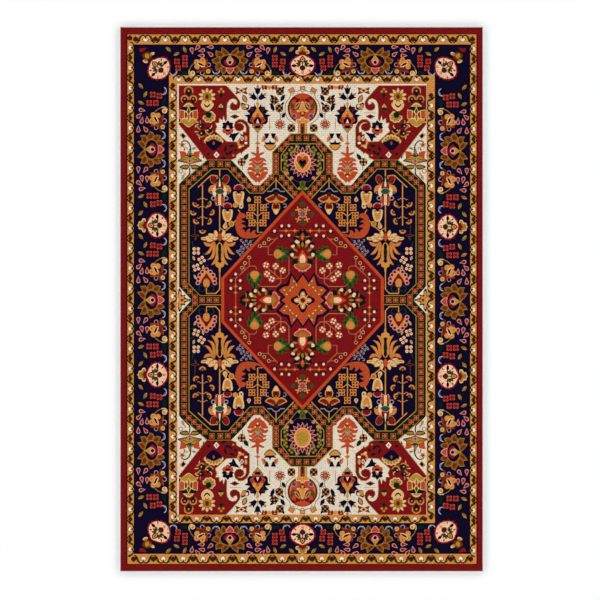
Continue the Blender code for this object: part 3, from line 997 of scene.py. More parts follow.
def panelFlowers():
    shapes = stripe("ochre", [(-275, 436), (-275, 405)], 3.6)
    shapes += stripe("ochre", [(-275, 322), (-275, 228)], 3.6)
    shapes += stripe("ochre", [(-275, 240), (-258, 228), (-240, 243), (-218, 268), (-207, 290),
                               (-214, 300)], 3.4)
    shapes += stripe("ochre", [(-258, 229), (-258, 218)], 3)
    shapes += place(largeLotus(), -275, 398)
    shapes += place(bellFlower(), -212, 350, size=1.08) + place(bellFlower(), -249, 291, size=1.02)
    shapes += drop("sand", -202, 316, 26, 15, 70) + circle("navy", -203, 312, 3, 6)
    shapes += circle("amber", -223, 315, 9, 9) + drop("sand", -178, 335, 18, 13, 90)
    shapes += drop("amber", -178, 334, 12, 8, 90)
    shapes += drop("sand", -256, 250, 27, 15, 80) + drop("amber", -255, 250, 18, 8, 80)
    shapes += circle("ochre", -236, 253, 10, 10) + circle("gold", -236, 253, 6, 8)
    shapes += berryTree() + acanthus() + paleSprig() + goldCurls() + goldPalmette()
    shapes += stripe("ochre", [(-275, 98), (-275, 36), (-288, 22), (-319, 22), (-319, 42)], 3.6)
    shapes += roundPetals(-353, 163, 0, 9.4, 6) + stripe("navy", [(-357, 163), (-349, 163)], 3)
    shapes += roundPetals(-335, 133, 32) + roundPetals(-353, 108, 18)
    for path in ([(-366, 194), (-364, 182), (-356, 176)], [(-333, 148), (-324, 156), (-316, 155)],
                 [(-374, 128), (-364, 124), (-358, 116)], [(-322, 118), (-314, 112)],
                 [(-368, 96), (-360, 92)]):
        shapes += vine("vineGreen", path, 2.4)
    for x, y, turn in ((-361, 139, 110), (-330, 108, 80), (-357, 77, 110)):
        shapes += leaf("sand", x, y, 16, 7.5, turn) + leaf("gold", x, y, 11, 4, turn)
    shapes += place(archFlower(), -319, 66)
    shapes += ring("vineGreen", -334, 38, 10, 2.4, 80, 170, 8)
    shapes += ring("vineGreen", -304, 38, 10, 2.4, -70, 170, 8)
    shapes += vine("vineGreen", [(-332, 28), (-324, 34), (-319, 46)], 2)
    shapes += vine("vineGreen", [(-306, 28), (-314, 34), (-319, 46)], 2)
    shapes += pointFlower()
    return shapes


def pointFlower():
    # hangs under the top of the panel, beside the hexagon
    half = vine("ash", [(0, 42), (8, 40), (15, 33), (29, 33)], 3)
    half += curvy("ochre", (0, 24), (16, 20), (30, 13), (37, 8), (28, -2), (18, -5), (8, -2), (0, 0))
    half += curvy("red", (2, 20), (15, 16), (27, 11), (32, 8), (26, 2), (16, 0), (8, 4), (2, 10))
    half += leaf("green", 12, 15, 13, 8, -20)
    half += ring("ash", 28, -14, 6, 2.6, -120, 260, 9)
    half += curvy("ochre", (0, -2), (10, -6), (14, -18), (12, -28), (6, -34), (0, -30))
    half += curvy("darkRed", (1.5, -5), (8, -8), (11, -18), (9, -26), (4, -29), (1.5, -24))
    half += curvy("sand", (0, -28), (8, -26), (8, -36), (0, -44))
    shapes = stripe("ochre", [(0, 78), (0, 44)], 3.2) + bothSides(half)
    shapes += circle("maroon", 0, 23, 8, 9) + leaf("amber", 0, 6, 12, 6, 90)
    for u in (-6, 6):
        for v in (-9, -22):
            shapes += circle("rust", u, v, 3.6, 7)
    shapes += circle("maroon", 0, -18, 7, 9)
    return place(shapes, -88, 328)


# the red hexagon

def seedFlower(x, y):
    shapes = leaf("inkGreen", x - 6.5, y - 3, 12, 7, 35) + leaf("inkGreen", x + 6.5, y - 3, 12, 7, -35)
    shapes += patch("inkGreen", (x - 4.5, y - 3), (x + 4.5, y - 3), (x, y - 11))
    shapes += curvy("peach", (x - 4.6, y + 2), (x, y + 6), (x + 4.6, y + 2),
                    (x + 2.4, y - 3.6), (x - 2.4, y - 3.6))
    return shapes


def bead(x, y):
    return circle("sand", x, y, 5.8, 10) + circle("ink", x, y, 4.1, 9)


def dottedFlower(x, y, turn=0):
    shapes = circle("fieldRed", 0, 0, 8, 8)
    for a in (0, 90, 180, 270):
        u, v = cos(radians(a + 45)), sin(radians(a + 45))
        shapes += circle("clay", 8.6 * u, 8.6 * v, 4.2, 8) + circle("maroon", 8.6 * u, 8.6 * v, 2.3, 6)
    for a in (0, 90, 180, 270):
        shapes += circle("peach", 6.6 * cos(radians(a)), 6.6 * sin(radians(a)), 4.0, 8)
    return place(shapes + circle("red", 0, 0, 2.4, 6), x, y, turn)


def fruit(x, y, turn):
    # a gold fruit in a cup of green leaves, point towards +u
    half = curvy("green", (-12, 15), (-6, 26), (2, 23), (10, 28), (11, 19), (24, 22), (18, 10), (0, 4))
    half += curvy("inkGreen", (-4, 17), (5, 21), (4, 14)) + leaf("deepGreen", 17, 14, 15, 4, 25)
    shapes = bothSidesUp(half)
    shapes += curvy("green", (8, 10), (24, 11), (46, 0), (24, -11), (8, -10))
    shapes += leaf("deepGreen", 30, 0, 20, 5)
    shapes += curvy("gold", (-19, 6), (-13, 14.5), (-2, 15.5), (8, 8), (19, 0), (8, -8), (-2, -15.5),
                    (-13, -14.5), (-19, -6))
    shapes += curvy("amber", (-18, 5), (-10, 13), (0, 10), (8, 0), (0, -10), (-10, -13), (-18, -5))
    return place(shapes, x, y, turn)


def bothSidesUp(shapes):
    return shapes + acrossY(shapes)


def fanPalmette():
    # peach heart in a dark fan, its foot at -v
    half = []
    for x, y, length, turn in ((12, 64, 24, 60), (22, 52, 26, 38), (30, 34, 26, 20), (34, 10, 26, 0),
                               (32, -8, 24, -18), (26, -24, 26, -50), (6, 74, 22, 80)):
        half += leaf("inkGreen", x, y, length, 17, turn)
    half += leaf("gold", 14, 34, 24, 8, 62) + leaf("gold", 24, 16, 22, 8, 34)
    half += leaf("gold", 26, -8, 22, 8, -8)
    half += curvy("peach", (10, 44), (20, 50), (26, 44), (20, 38), (12, 38))
    half += curvy("peach", (28, 34), (38, 30), (34, 23), (26, 26))
    half += curvy("peach", (30, 6), (40, 4), (38, -5), (30, -5))
    half += leaf("gold", 16, 60, 20, 4, 5)
    shapes = bothSides(half)
    shapes += leaf("inkGreen", 0, 40, 40, 20, 90) + leaf("gold", 0, 34, 20, 9, 90)
    shapes += leaf("orangeRed", 0, 60, 28, 13, 90) + leaf("amber", 0, 57, 14, 5, 90)
    shapes += curvy("orange", (0, 16), (8, 4), (15, -10), (13, -26), (0, -32), (-13, -26), (-15, -10),
                    (-8, 4))
    shapes += curvy("peach", (0, 2), (8, -6), (10, -18), (7, -26), (0, -28), (-7, -26), (-10, -18), (-8, -6))
    shapes += curvy("blush", (-28, -32), (-16, -30), (16, -30), (28, -32), (26, -42), (14, -50),
                    (12, -56), (4, -54), (0, -58), (-4, -54), (-12, -56), (-14, -50), (-26, -42))
    shapes += curvy("orange", (-25, -33), (-14, -31), (14, -31), (25, -33), (22, -41), (12, -48),
                    (0, -52), (-12, -48), (-22, -41))
    shapes += curvy("gold", (-18, -29), (0, -26), (18, -29), (8, -38), (0, -42), (-8, -38))
    return shapes


def hexagonFlowers():
    shapes = []
    thin = [[(-82, 208), (-114, 177), (-139, 177)], [(-114, 177), (-114, 150), (-99, 150)],
            [(-112, 202), (-88, 202)], [(-45, 143), (-45, 88), (-58, 73), (-92, 70)],
            [(-72, 96), (-72, 58), (-86, 45), (-140, 45), (-149, 53)], [(-114, 104), (-76, 72)],
            [(-177, 134), (-177, 113), (-160, 113), (-153, 108), (-153, 100)],
            [(-177, 113), (-192, 98), (-222, 72), (-222, 0)], [(-192, 122), (-192, 98)],
            [(-201, 106), (-201, 90)], [(-92, 84), (-92, 112)]]
    for path in thin:
        shapes += stripe("tan", path, 2.0)
    shapes += stripe("coral", [(-78, 230), (0, 230)], 4) + stripe("coral", [(-222, 60), (-222, 0)], 3.4)
    for x, y in ((-55, 230), (-26, 230), (-222, 46), (-222, 24)):
        shapes += star("amber", x, y, 7.5, 3, 4)
    for x, y in ((-69, 245), (-45, 246), (-93, 228), (-70, 212), (-45, 214), (-222, 85), (-237, 64),
                 (-207, 64), (-238, 38), (-207, 38)):
        shapes += seedFlower(x, y)
    for x, y in ((-112, 202), (-127, 189), (-142, 179), (-177, 141), (-191, 123), (-201, 107)):
        shapes += bead(x, y)
    shapes += fruit(-76, 153, 0) + fruit(-159, 78, -90)
    for x, y, turn in ((-121, 116, 30), (-89, 113, 0), (-66, 98, 12), (-118, 87, 10), (-102, 70, 20)):
        shapes += dottedFlower(x, y, turn)
    # sprays and small wreaths near the point
    shapes += leaf("green", 0, 318, 24, 13) + leaf("green", -31, 285, 14, 17) + leaf("green", 0, 254, 24, 12)
    for x, y, turn in ((-14, 300, -30), (-14, 268, 30)):
        shapes += place(stripe("ochre", [(-8, -7), (7, 7)], 4) + stripe("ochre", [(-8, 7), (7, -7)], 4),
                        x, y, turn)
    for a in range(8):
        shapes += circle("ash", 11 * cos(radians(45 * a)), 286 + 11 * sin(radians(45 * a)), 3.6, 7)
    shapes += circle("brick", 0, 286, 8, 10) + circle("orange", 0, 286, 4, 7)
    return shapes


def centreStar():
    edge = ((0, 94), (-19, 66), (-39, 94), (-53, 57), (-70, 52), (-91, 35), (-67, 12), (-80, 0))
    body = ((0, 84), (-19, 56), (-37, 82), (-46, 48), (-65, 45), (-79, 33), (-57, 11), (-71, 0))
    shapes = []
    for ink, quarter in (("navy", edge), ("orange", body)):
        left = list(quarter) + [(x, -y) for x, y in quarter[-2::-1]]
        shapes += [(ink, left + [(-x, y) for x, y in left[-2:0:-1]])]
    for x, y, turn in ((-30, 64, 110), (-21, 51, 120), (-34, 43, 40), (-62, 34, -20), (-54, 20, -30),
                       (-42, 33, 60)):
        shapes += fourWays(oval("olive", x, y, 6.2, 4.2, turn) + oval("sand", x, y, 3.8, 2.2, turn))
    for turn in range(0, 360, 90):
        shapes += place(curvy("navy", (10, 13), (21, 15), (29, 11), (38, 6), (40, 0), (38, -6), (29, -11),
                              (21, -15), (10, -13)), turn=turn)
    shapes += circle("navy", 0, 0, 21, 14)
    for turn in range(0, 360, 90):
        shapes += place(curvy("ochre", (12, 7), (20, 8), (27, 5), (29, 0), (27, -5), (20, -8), (12, -7))
                        + oval("peach", 21, 0, 4.6, 3.4), turn=turn)
        shapes += place(stripe("peach", [(12, 0), (23, 0)], 1.8), turn=turn + 45)
    shapes += circle("sand", 0, 0, 14.5, 16) + ring("ochre", 0, 0, 11, 3) + circle("darkRed", 0, 0, 8.6, 12)
    return place(shapes, 1, -1)


# the whole print

halfWidth, halfLength = 600, 900


def sheetGround():
    # plain bands from the outer red inwards, then the cream ground
    shapes = []
    for ink, x, y in (("ink", 582.5, 880.5), ("ochre", 579, 878.5), ("ink", 558.5, 845.5),
                      ("navy", 556, 843.5), ("ink", 443, 745.5), ("ochre", 441, 743)):
        shapes += patch(ink, (-x, -y), (x, -y), (x, y), (-x, y))
    shapes += patch("tan", (-416, -717), (416, -717), (416, 717), (-416, 717))
    shapes += patch("cream", (-414, -715), (414, -715), (414, 715), (-414, 715))
    return shapes


def guards():
    shapes = guardRun(-568, 584, 862, 7, 25, "up") + guardRun(-574, 574, -862, 0.5, -25, "up")
    shapes += place(guardBud(), -571, 866) + guardRun(-430, 436, 729.5, -14, 21, "up")
    shapes += guardRun(-436, 436, -729.5, -20, -21, "up")
    for x, phase, side in ((-570, 35.5, "right"), (570, 31.5, "left")):
        shapes += guardRun(-858, 856, x, phase, 18.5, side)
    for x, phase, side in ((-429, 10, "right"), (429, 43, "left")):
        shapes += guardRun(-742, 716, x, phase, 22, side)
    shapes += place(guardBud(), -429, 709.5, -90, tall=0.88)
    return shapes


def borderElements():
    up = place(borderGroup(), 0, 790)
    top = place(up, -241, 0) + place(acrossX(up), -241, 0)
    top += place(palmette(), -241, 790)
    top = bothSides(top) + place(rosette(), 0, 779) + place(trefoil(), 0, 824)
    group = [(ink, [(u * 1.033, v) for u, v in outline]) for ink, outline in place(borderGroup(), 0, -4)]
    run = group + acrossX(group)
    side = place(palmette(), -499, 0, 90) + place(run, -499, 0, 90)
    for y in (500, -500):
        side += place(palmette(), -499, y, 90) + place(run, -499, y, 90)
    for y in (248, -248):
        side += place(rosette(), -483, y, 90) + place(trefoil(), -528, y, 90)
    corner = place(rosette(), -476, 769, 45) + place(cornerBloom(), -516, 810)
    return top + acrossY(top) + side + place(acrossX(side), 0, -5) + fourWays(corner)


def fieldShapes():
    quarter = latticeGround() + latticeRosettes() + cornerGround() + cornerFlowers() + creamOrnaments()
    quarter += panelFlowers() + garland() + wreath()
    shapes = fourWays(quarter)
    shapes += roundMedallion() + acrossY(roundMedallion())
    shapes += fourWays(medallionGround()) + fourWays(hexagonFlowers())
    shapes += place(fanPalmette(), 0, 150) + place(fanPalmette(), 0, -150, 180)
    shapes += place(fanPalmette(), -129, 0, 90, size=0.97) + place(fanPalmette(), 129, 0, -90, size=0.97)
    shapes += centreStar() + wreathHeart() + acrossY(wreathDisc())
    return shapes


inks = {"edgeRed": (36, 8, 15), "outerRed": (116, 21, 22), "fieldRed": (119, 20, 23),
        "red": (136, 20, 24), "darkRed": (120, 18, 22), "maroon": (74, 24, 18), "brown": (98, 56, 30),
        "rust": (110, 40, 16), "rustRed": (160, 70, 46), "brick": (150, 66, 36), "clay": (184, 94, 56),
        "orangeRed": (186, 66, 38), "coral": (180, 71, 37), "orange": (182, 70, 33),
        "amber": (198, 128, 62), "ochre": (203, 137, 62), "gold": (152, 112, 38),
        "mustard": (170, 132, 48), "olive": (102, 92, 30), "tan": (184, 114, 72), "sand": (220, 178, 120),
        "cream": (221, 207, 186), "white": (234, 222, 208), "peach": (236, 188, 152),
        "blush": (208, 142, 132), "palePink": (212, 166, 164), "paleBlue": (170, 164, 182),
        "ash": (146, 140, 134), "lilac": (140, 122, 132), "slate": (78, 74, 90), "umber": (94, 52, 22),
        "bark": (118, 64, 28), "green": (38, 76, 32), "deepGreen": (11, 36, 15), "inkGreen": (8, 26, 22),
        "vineGreen": (34, 60, 38), "navy": (17, 11, 36), "ink": (10, 8, 13), }
wholeLook = {
    "edgeBand": 2.6,             # the dark line along the cut edge
    "size": 0.995,               # the pattern ends a little short of the sheet's edges
    "shift": (1.3, 0.2),         # and sits this far off the middle of the sheet
    "innerShift": (2, -3),       # what lies inside the guard stripes sits off centre too
}


def wholePrint():
    look = wholeLook
    x, y = halfWidth, halfLength
    shapes = patch("edgeRed", (-x, -y), (x, -y), (x, y), (-x, y))
    x, y = x - look["edgeBand"], y - look["edgeBand"]
    shapes += patch("outerRed", (-x, -y), (x, -y), (x, y), (-x, y))
    pattern = sheetGround() + guards() + place(borderElements() + fieldShapes(), *look["innerShift"])
    return shapes + place(pattern, *look["shift"], size=look["size"])


# from outlines to one flat sheet of facets

mosaic = {
    "snap": 0.002,           # corners nearer than this are one, in millimetres
    "pieceX": 443.5,         # the side strips begin here
    "pieceY": 745.5,         # the end strips begin here
    "edgeRound": 1.0,        # the printed film rolls over the cut edge by this radius
}


def pieceName(x, y):
    if abs(x) > mosaic["pieceX"]:
        return "print_left" if x < 0 else "print_right"
    if abs(y) > mosaic["pieceY"]:
        return "print_bottom" if y < 0 else "print_top"
    return "print_field"


def triangulate(corners, lines):
    points, _, facets, _, _, _ = delaunay_2d_cdt(corners, lines, [], 0, mosaic["snap"], False)
    return points, facets


def paint(points, facets, shapes):
    # gives each facet the number of the topmost shape over its middle
    places = np.array([tuple(p) for p in points])
    middles = places[np.array(facets)].mean(axis=1)
    order = np.argsort(middles[:, 0])
    x, y = middles[order, 0], middles[order, 1]
    top = np.zeros(len(facets), dtype=int)
    for number, (_, outline) in enumerate(shapes):
        start = np.array(outline)
        first, last = np.searchsorted(x, (start[:, 0].min(), start[:, 0].max()))
        near = np.arange(first, last)
        near = near[(y[first:last] >= start[:, 1].min()) & (y[first:last] <= start[:, 1].max())]
        if not len(near):
            continue
        end = np.roll(start, -1, axis=0)
        x0, y0, x1, y1 = (c[:, None] for c in (start[:, 0], start[:, 1], end[:, 0], end[:, 1]))
        side = (x1 - x0) * (y[near] - y0) - (x[near] - x0) * (y1 - y0)
        turns = ((y0 <= y[near]) & (y1 > y[near]) & (side > 0)).sum(axis=0)
        turns = turns - ((y0 > y[near]) & (y1 <= y[near]) & (side < 0)).sum(axis=0)
        top[near[turns != 0]] = number
    labels = [None] * len(facets)
    for place, facet in enumerate(order):
        labels[facet] = (shapes[top[place]][0], pieceName(x[place], y[place]))
    return labels


def cutPaper(shapes):
    # lays the shapes over each other like cut paper and keeps the seams that show
    corners, lines = [], []
    for _, outline in shapes:
        first, count = len(corners), len(outline)
        lines += [(first + i, first + (i + 1) % count) for i in range(count)]
        corners += [Vector(corner) for corner in outline]
    x, y = mosaic["pieceX"], mosaic["pieceY"]
    end = halfLength
    for a, b in (((-x, -end), (-x, end)), ((x, -end), (x, end)), ((-x, -y), (x, -y)), ((-x, y), (x, y))):
        lines.append((len(corners), len(corners) + 1))
        corners += [Vector(a), Vector(b)]
    points, facets = triangulate(corners, lines)
    sides = {}
    for facet, label in zip(facets, paint(points, facets, shapes)):
        for i, start in enumerate(facet):
            sides[start, facet[(i + 1) % 3]] = label
    seams = []
    for (a, b), label in sides.items():
        if sides.get((b, a)) != label and (a < b or (b, a) not in sides):
            seams.append((a, b))
    kept = sorted({corner for seam in seams for corner in seam})
    number = {corner: i for i, corner in enumerate(kept)}
    points, facets = triangulate([points[k] for k in kept], [(number[a], number[b]) for a, b in seams])
    return points, facets, paint(points, facets, shapes)


def toLinear(value):
    value /= 255
    return value / 12.92 if value <= 0.04045 else ((value + 0.055) / 1.055) ** 2.4


def filmHeight(x, y, top):
    # the printed film turns down over the sheet's cut edge
    inset = min(halfWidth - abs(x), halfLength - abs(y))
    radius = mosaic["edgeRound"]
    if inset >= radius:
        return top
    return top - (radius - sqrt(max(radius ** 2 - (radius - inset) ** 2, 0))) / 1000


def makePrint(top):
    shapes = wholePrint()
    points, facets, labels = cutPaper(shapes)
    colours = {ink: tuple(toLinear(v) for v in rgb) + (1.0,) for ink, rgb in inks.items()}
    pieces = []
    for name in ("print_field", "print_left", "print_right", "print_top", "print_bottom"):
        mine = [i for i, label in enumerate(labels) if label and label[1] == name]
        used = sorted({corner for i in mine for corner in facets[i]})
        number = {corner: k for k, corner in enumerate(used)}
        mesh = bpy.data.meshes.new(name)
        places = [(points[k].x / 1000, points[k].y / 1000, filmHeight(*points[k], top)) for k in used]
        mesh.from_pydata(places, [], [[number[k] for k in facets[i]] for i in mine])
        dye = mesh.color_attributes.new("dye", "FLOAT_COLOR", "CORNER")
        values = []
        for i in mine:
            values += colours[labels[i][0]] * 3
        dye.data.foreach_set("color", values)
        mesh.update()
        piece = bpy.data.objects.new(name, mesh)
        bpy.context.scene.collection.objects.link(piece)
        pieces.append(piece)
        print("cut", name, "into", len(mine), "facets")
    return pieces


# materials

def newMaterial(name):
    material = bpy.data.materials.new(name)
    material.use_nodes = True
    nodes = material.node_tree.nodes
    return material, nodes, material.node_tree.links, nodes["Principled BSDF"]


def mathNode(nodes, links, operation, a, b=None, c=None, clamp=False):
    # a, b and c are sockets or numbers
    node = nodes.new("ShaderNodeMath")
    node.operation = operation
    node.use_clamp = clamp
    for i, value in enumerate((a, b, c)):
        if value is None:
            continue
        if isinstance(value, (int, float)):
            node.inputs[i].default_value = value
        else:
            links.new(value, node.inputs[i])
    return node.outputs[0]


def noiseNode(nodes, links, where, scale, detail=2.0, roughness=0.5):
    node = nodes.new("ShaderNodeTexNoise")
    node.inputs["Scale"].default_value = scale
    node.inputs["Detail"].default_value = detail
    node.inputs["Roughness"].default_value = roughness
    links.new(where, node.inputs["Vector"])
    return node.outputs["Fac"]


def stretched(nodes, links, where, x, y, z=1.0):
    node = nodes.new("ShaderNodeMapping")
    node.inputs["Scale"].default_value = (x, y, z)
    links.new(where, node.inputs["Vector"])
    return node.outputs["Vector"]


wovenPrint = {
    "rowPitch": 0.0066,      # one row of the woven look
    "tickLength": 0.0066,    # one stitch along a row
    "tickGap": (0.0006, 0.6),    # width and softness of the gaps between stitches
    "groove": 0.16,          # how much darker the print is between stitches
    "dashLength": 0.0130,    # the dark dashes along the rows
    "dashGap": (0.0009, 0.3),
    "dash": 0.55,            # how dark they are
    "breaks": (110, 170),    # where the dashes break off, per metre across and along
    "breakContrast": (2.4, -0.75),
    "heather": 0.16,         # tone difference from stitch to stitch
    "cloud": 0.08,           # slow tone drift over the sheet
    "speckle": 0.18,         # fine grain
    "specks": (500, 900),    # per metre across and along
    "tone": 1.09,            # makes up for what the grooves and dashes take away
    "roughness": 0.61,
    "speckRoughness": 0.14,
    "relief": 0.00025,       # depth of the embossing
    "reliefStrength": 0.8,
    "speckRelief": 0.35,
    "gloss": 0.0,
}


def stitchNode(nodes, links, where, length, row, gap, softness):
    node = nodes.new("ShaderNodeTexBrick")
    node.offset = 0.5
    node.inputs["Scale"].default_value = 1.0
    node.inputs["Brick Width"].default_value = length
    node.inputs["Row Height"].default_value = row
    node.inputs["Mortar Size"].default_value = gap
    node.inputs["Mortar Smooth"].default_value = softness
    node.inputs["Color1"].default_value = (0, 0, 0, 1)
    node.inputs["Color2"].default_value = (1, 1, 1, 1)
    node.inputs["Mortar"].default_value = (0.3, 0.3, 0.3, 1)
    links.new(where, node.inputs["Vector"])
    return node


def wovenPrintMaterial():
    look = wovenPrint
    material, nodes, links, shader = newMaterial("woven_print")
    place = nodes.new("ShaderNodeTexCoord").outputs["Object"]
    dye = nodes.new("ShaderNodeAttribute")
    dye.attribute_name = "dye"

    def centred(value, strength):
        return mathNode(nodes, links, "MULTIPLY", mathNode(nodes, links, "SUBTRACT", value, 0.5), strength)

    stitches = stitchNode(nodes, links, place, look["tickLength"], look["rowPitch"] / 2, *look["tickGap"])
    groove = mathNode(nodes, links, "MULTIPLY", stitches.outputs["Fac"], -look["groove"])
    # broken dark dashes between the rows
    rows = stitchNode(nodes, links, place, look["dashLength"], look["rowPitch"], *look["dashGap"])
    broken = noiseNode(nodes, links, stretched(nodes, links, place, *look["breaks"]), 1.0, 1.0)
    broken = mathNode(nodes, links, "MULTIPLY_ADD", broken, *look["breakContrast"], clamp=True)
    dashes = mathNode(nodes, links, "MULTIPLY", rows.outputs["Fac"], broken)
    dark = mathNode(nodes, links, "MULTIPLY", dashes, -look["dash"])
    heather = centred(stitches.outputs["Color"], look["heather"])
    cloud = centred(noiseNode(nodes, links, place, 5.0, 3.0), look["cloud"] * 2)
    speck = noiseNode(nodes, links, stretched(nodes, links, place, *look["specks"]), 1.0, 1.0)
    tone = mathNode(nodes, links, "ADD", groove, dark)
    for part in (heather, cloud, centred(speck, look["speckle"])):
        tone = mathNode(nodes, links, "ADD", tone, part)
    tone = mathNode(nodes, links, "ADD", tone, look["tone"])
    shade = nodes.new("ShaderNodeVectorMath")
    shade.operation = "SCALE"
    links.new(dye.outputs["Color"], shade.inputs[0])
    links.new(tone, shade.inputs["Scale"])
    links.new(shade.outputs["Vector"], shader.inputs["Base Color"])
    rough = mathNode(nodes, links, "MULTIPLY_ADD", speck, look["speckRoughness"], look["roughness"])
    links.new(rough, shader.inputs["Roughness"])
    grain = mathNode(nodes, links, "MULTIPLY", speck, look["speckRelief"])
    height = mathNode(nodes, links, "SUBTRACT", grain, stitches.outputs["Fac"])
    height = mathNode(nodes, links, "SUBTRACT", height, dashes)
    bump = nodes.new("ShaderNodeBump")
    bump.inputs["Strength"].default_value = look["reliefStrength"]
    bump.inputs["Distance"].default_value = look["relief"]
    links.new(height, bump.inputs["Height"])
    links.new(bump.outputs["Normal"], shader.inputs["Normal"])
    shader.inputs["Specular IOR Level"].default_value = look["gloss"]
    return material


foam = {
    "drift": 9.0,            # size of the grubby patches, per metre
    "driftTone": 0.12,
    # painted shade: how much darker the foam is painted at the bottom of each pit
    "pitShade": 0.1,
    "tone": 0.88,
    "roughness": 0.78,
    "pitRoughness": 0.15,
    "relief": 0.2,           # depth of the pits, as a share of the cell
    "gloss": 0.25,
}


def foamMaterial(name, colour, cell):
    # closed-cell foam: pale, matt, with fine pits, a little grubby in patches; each pit is darkened with
    # painted shade
    look = foam
    material, nodes, links, shader = newMaterial(name)
    place = nodes.new("ShaderNodeTexCoord").outputs["Object"]
    pits = nodes.new("ShaderNodeTexVoronoi")
    pits.inputs["Scale"].default_value = 1 / cell
    links.new(place, pits.inputs["Vector"])
    drift = noiseNode(nodes, links, place, look["drift"], 4.0)
    tone = mathNode(nodes, links, "MULTIPLY", drift, look["driftTone"])
    # painted shade: the pits that the bump sinks are also painted darker
    paintedPitShade = mathNode(nodes, links, "MULTIPLY", pits.outputs["Distance"], look["pitShade"])
    tone = mathNode(nodes, links, "ADD", mathNode(nodes, links, "ADD", tone, paintedPitShade), look["tone"])
    shade = nodes.new("ShaderNodeVectorMath")
    shade.operation = "SCALE"
    shade.inputs[0].default_value = colour
    links.new(tone, shade.inputs["Scale"])
    links.new(shade.outputs["Vector"], shader.inputs["Base Color"])
    rough = mathNode(nodes, links, "MULTIPLY", pits.outputs["Distance"], look["pitRoughness"])
    rough = mathNode(nodes, links, "ADD", rough, look["roughness"])
    links.new(rough, shader.inputs["Roughness"])
    bump = nodes.new("ShaderNodeBump")
    bump.inputs["Strength"].default_value = 0.6
    bump.inputs["Distance"].default_value = cell * look["relief"]
    links.new(pits.outputs["Distance"], bump.inputs["Height"])
    links.new(bump.outputs["Normal"], shader.inputs["Normal"])
    shader.inputs["Specular IOR Level"].default_value = look["gloss"]
    return material


# the layers under the print: the CAD layer each stands for, its underside and top as shares of
# the sheet's thickness, its colour and its foam cell

layers = (
    {"name": "grip_foam", "stands": ("grip_backing",), "from": 0.0, "to": 0.34,
     "colour": (0.34, 0.34, 0.33), "cell": 0.0022},
    {"name": "fleece_sheet", "stands": ("glass_fleece",), "from": 0.34, "to": 0.42,
     "colour": (0.48, 0.48, 0.46), "cell": 0.0009},
    {"name": "white_foam", "stands": ("foam_core",), "from": 0.42, "to": 0.97,
     "colour": (0.60, 0.59, 0.57), "cell": 0.0007},
)
cornerRadius = 0.0025        # the die rounds the sheet's four corners
cornerSteps = 4


def makeLayer(layer, thickness):
    low, high = layer["from"] * thickness, layer["to"] * thickness
    sheet = bmesh.new()
    bmesh.ops.create_cube(sheet, size=1.0)
    bmesh.ops.scale(sheet, vec=(halfWidth / 500, halfLength / 500, high - low), verts=sheet.verts)
    bmesh.ops.translate(sheet, vec=(0, 0, (low + high) / 2), verts=sheet.verts)
    upright = [e for e in sheet.edges if abs(e.verts[0].co.z - e.verts[1].co.z) > 1e-6]
    bmesh.ops.bevel(sheet, geom=upright, offset=cornerRadius, segments=cornerSteps,
                    profile=0.5, affect="EDGES")
    mesh = bpy.data.meshes.new(layer["name"])
    sheet.to_mesh(mesh)
    sheet.free()
    piece = bpy.data.objects.new(layer["name"], mesh)
    bpy.context.scene.collection.objects.link(piece)
    mesh.materials.append(foamMaterial(layer["name"], layer["colour"], layer["cell"]))
    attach(piece, "root")
    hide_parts(*layer["stands"])
    print("laid", layer["name"])
    return piece


# the studio

studio = {
    "floorSize": 14.0,
    "floorDrop": 0.0002,     # the floor lies a hair under the sheet
    "floorTone": 0.965,
    # brightness of the room by height: a ring of low soft lights, and a dim ceiling
    "glow": ((0.0, 1.0), (0.08, 1.0), (0.12, 14.0), (0.19, 12.0), (0.32, 0.6), (1.0, 0.15)),
    "lens": 85.0,
    "viewHeight": 1.9815,    # how much of the floor the picture spans, in metres
    "aim": (-0.0051, -0.0026),
}


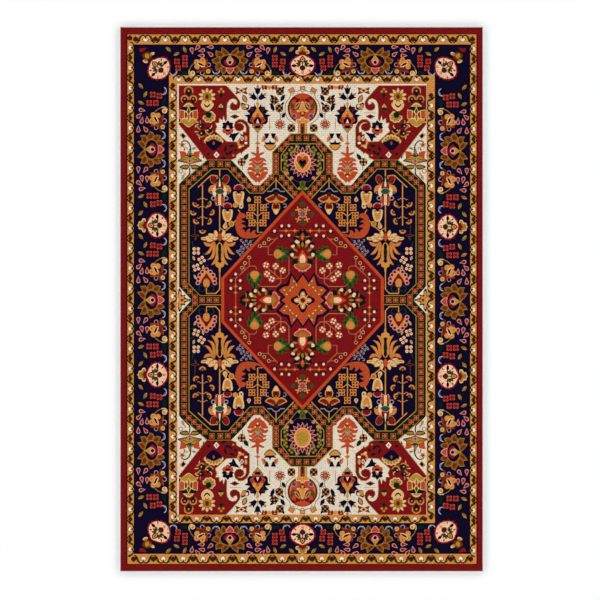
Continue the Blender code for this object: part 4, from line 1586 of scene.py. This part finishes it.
def makeStudio(top):
    bpy.ops.mesh.primitive_plane_add(size=studio["floorSize"], location=(0, 0, -studio["floorDrop"]))
    floorPlane = bpy.context.object
    floorPlane.name = "floor"
    paper, nodes, links, shader = newMaterial("pale_floor")
    tone = studio["floorTone"]
    shader.inputs["Base Color"].default_value = (tone, tone, tone, 1)
    shader.inputs["Roughness"].default_value = 1.0
    shader.inputs["Specular IOR Level"].default_value = 0.0
    floorPlane.data.materials.append(paper)
    world = bpy.data.worlds.new("soft_room")
    bpy.context.scene.world = world
    world.use_nodes = True
    nodes, links = world.node_tree.nodes, world.node_tree.links
    place = nodes.new("ShaderNodeTexCoord")
    split = nodes.new("ShaderNodeSeparateXYZ")
    links.new(place.outputs["Generated"], split.inputs["Vector"])
    ramp = nodes.new("ShaderNodeValToRGB")
    brightest = max(value for _, value in studio["glow"])
    for i, (height, value) in enumerate(studio["glow"]):
        stop = ramp.color_ramp.elements[i] if i < 2 else ramp.color_ramp.elements.new(height)
        stop.position = height
        stop.color = (*[value / brightest] * 3, 1)
    links.new(split.outputs["Z"], ramp.inputs["Fac"])
    strength = mathNode(nodes, links, "MULTIPLY", ramp.outputs["Color"], brightest)
    links.new(strength, nodes["Background"].inputs["Strength"])
    nodes["Background"].inputs["Color"].default_value = (1, 1, 1, 1)
    lens = bpy.data.cameras.new("camera")
    lens.lens = studio["lens"]
    lens.sensor_width = 36
    camera = bpy.data.objects.new("camera", lens)
    bpy.context.scene.collection.objects.link(camera)
    reach = studio["viewHeight"] / 2 / tan(atan(lens.sensor_width / 2 / lens.lens))
    camera.location = (*studio["aim"], top + reach)
    lens.clip_end = 60
    bpy.context.scene.camera = camera
    bpy.context.scene.view_settings.view_transform = "Standard"
    print("set up the studio and the camera")


# the rug itself

for item in [o for o in bpy.data.objects if o.name in ("Cube", "Light", "Camera")]:
    bpy.data.objects.remove(item, do_unlink=True)

thickness = cadBox[1][2]
under = [makeLayer(layer, thickness) for layer in layers]
face = makePrint(thickness)
print("laid the print in", len(face), "pieces")
weave = wovenPrintMaterial()
for piece in face:
    piece.data.materials.append(weave)
    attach(piece, "root")
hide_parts("printed_film", "wear_layer")
makeStudio(thickness)
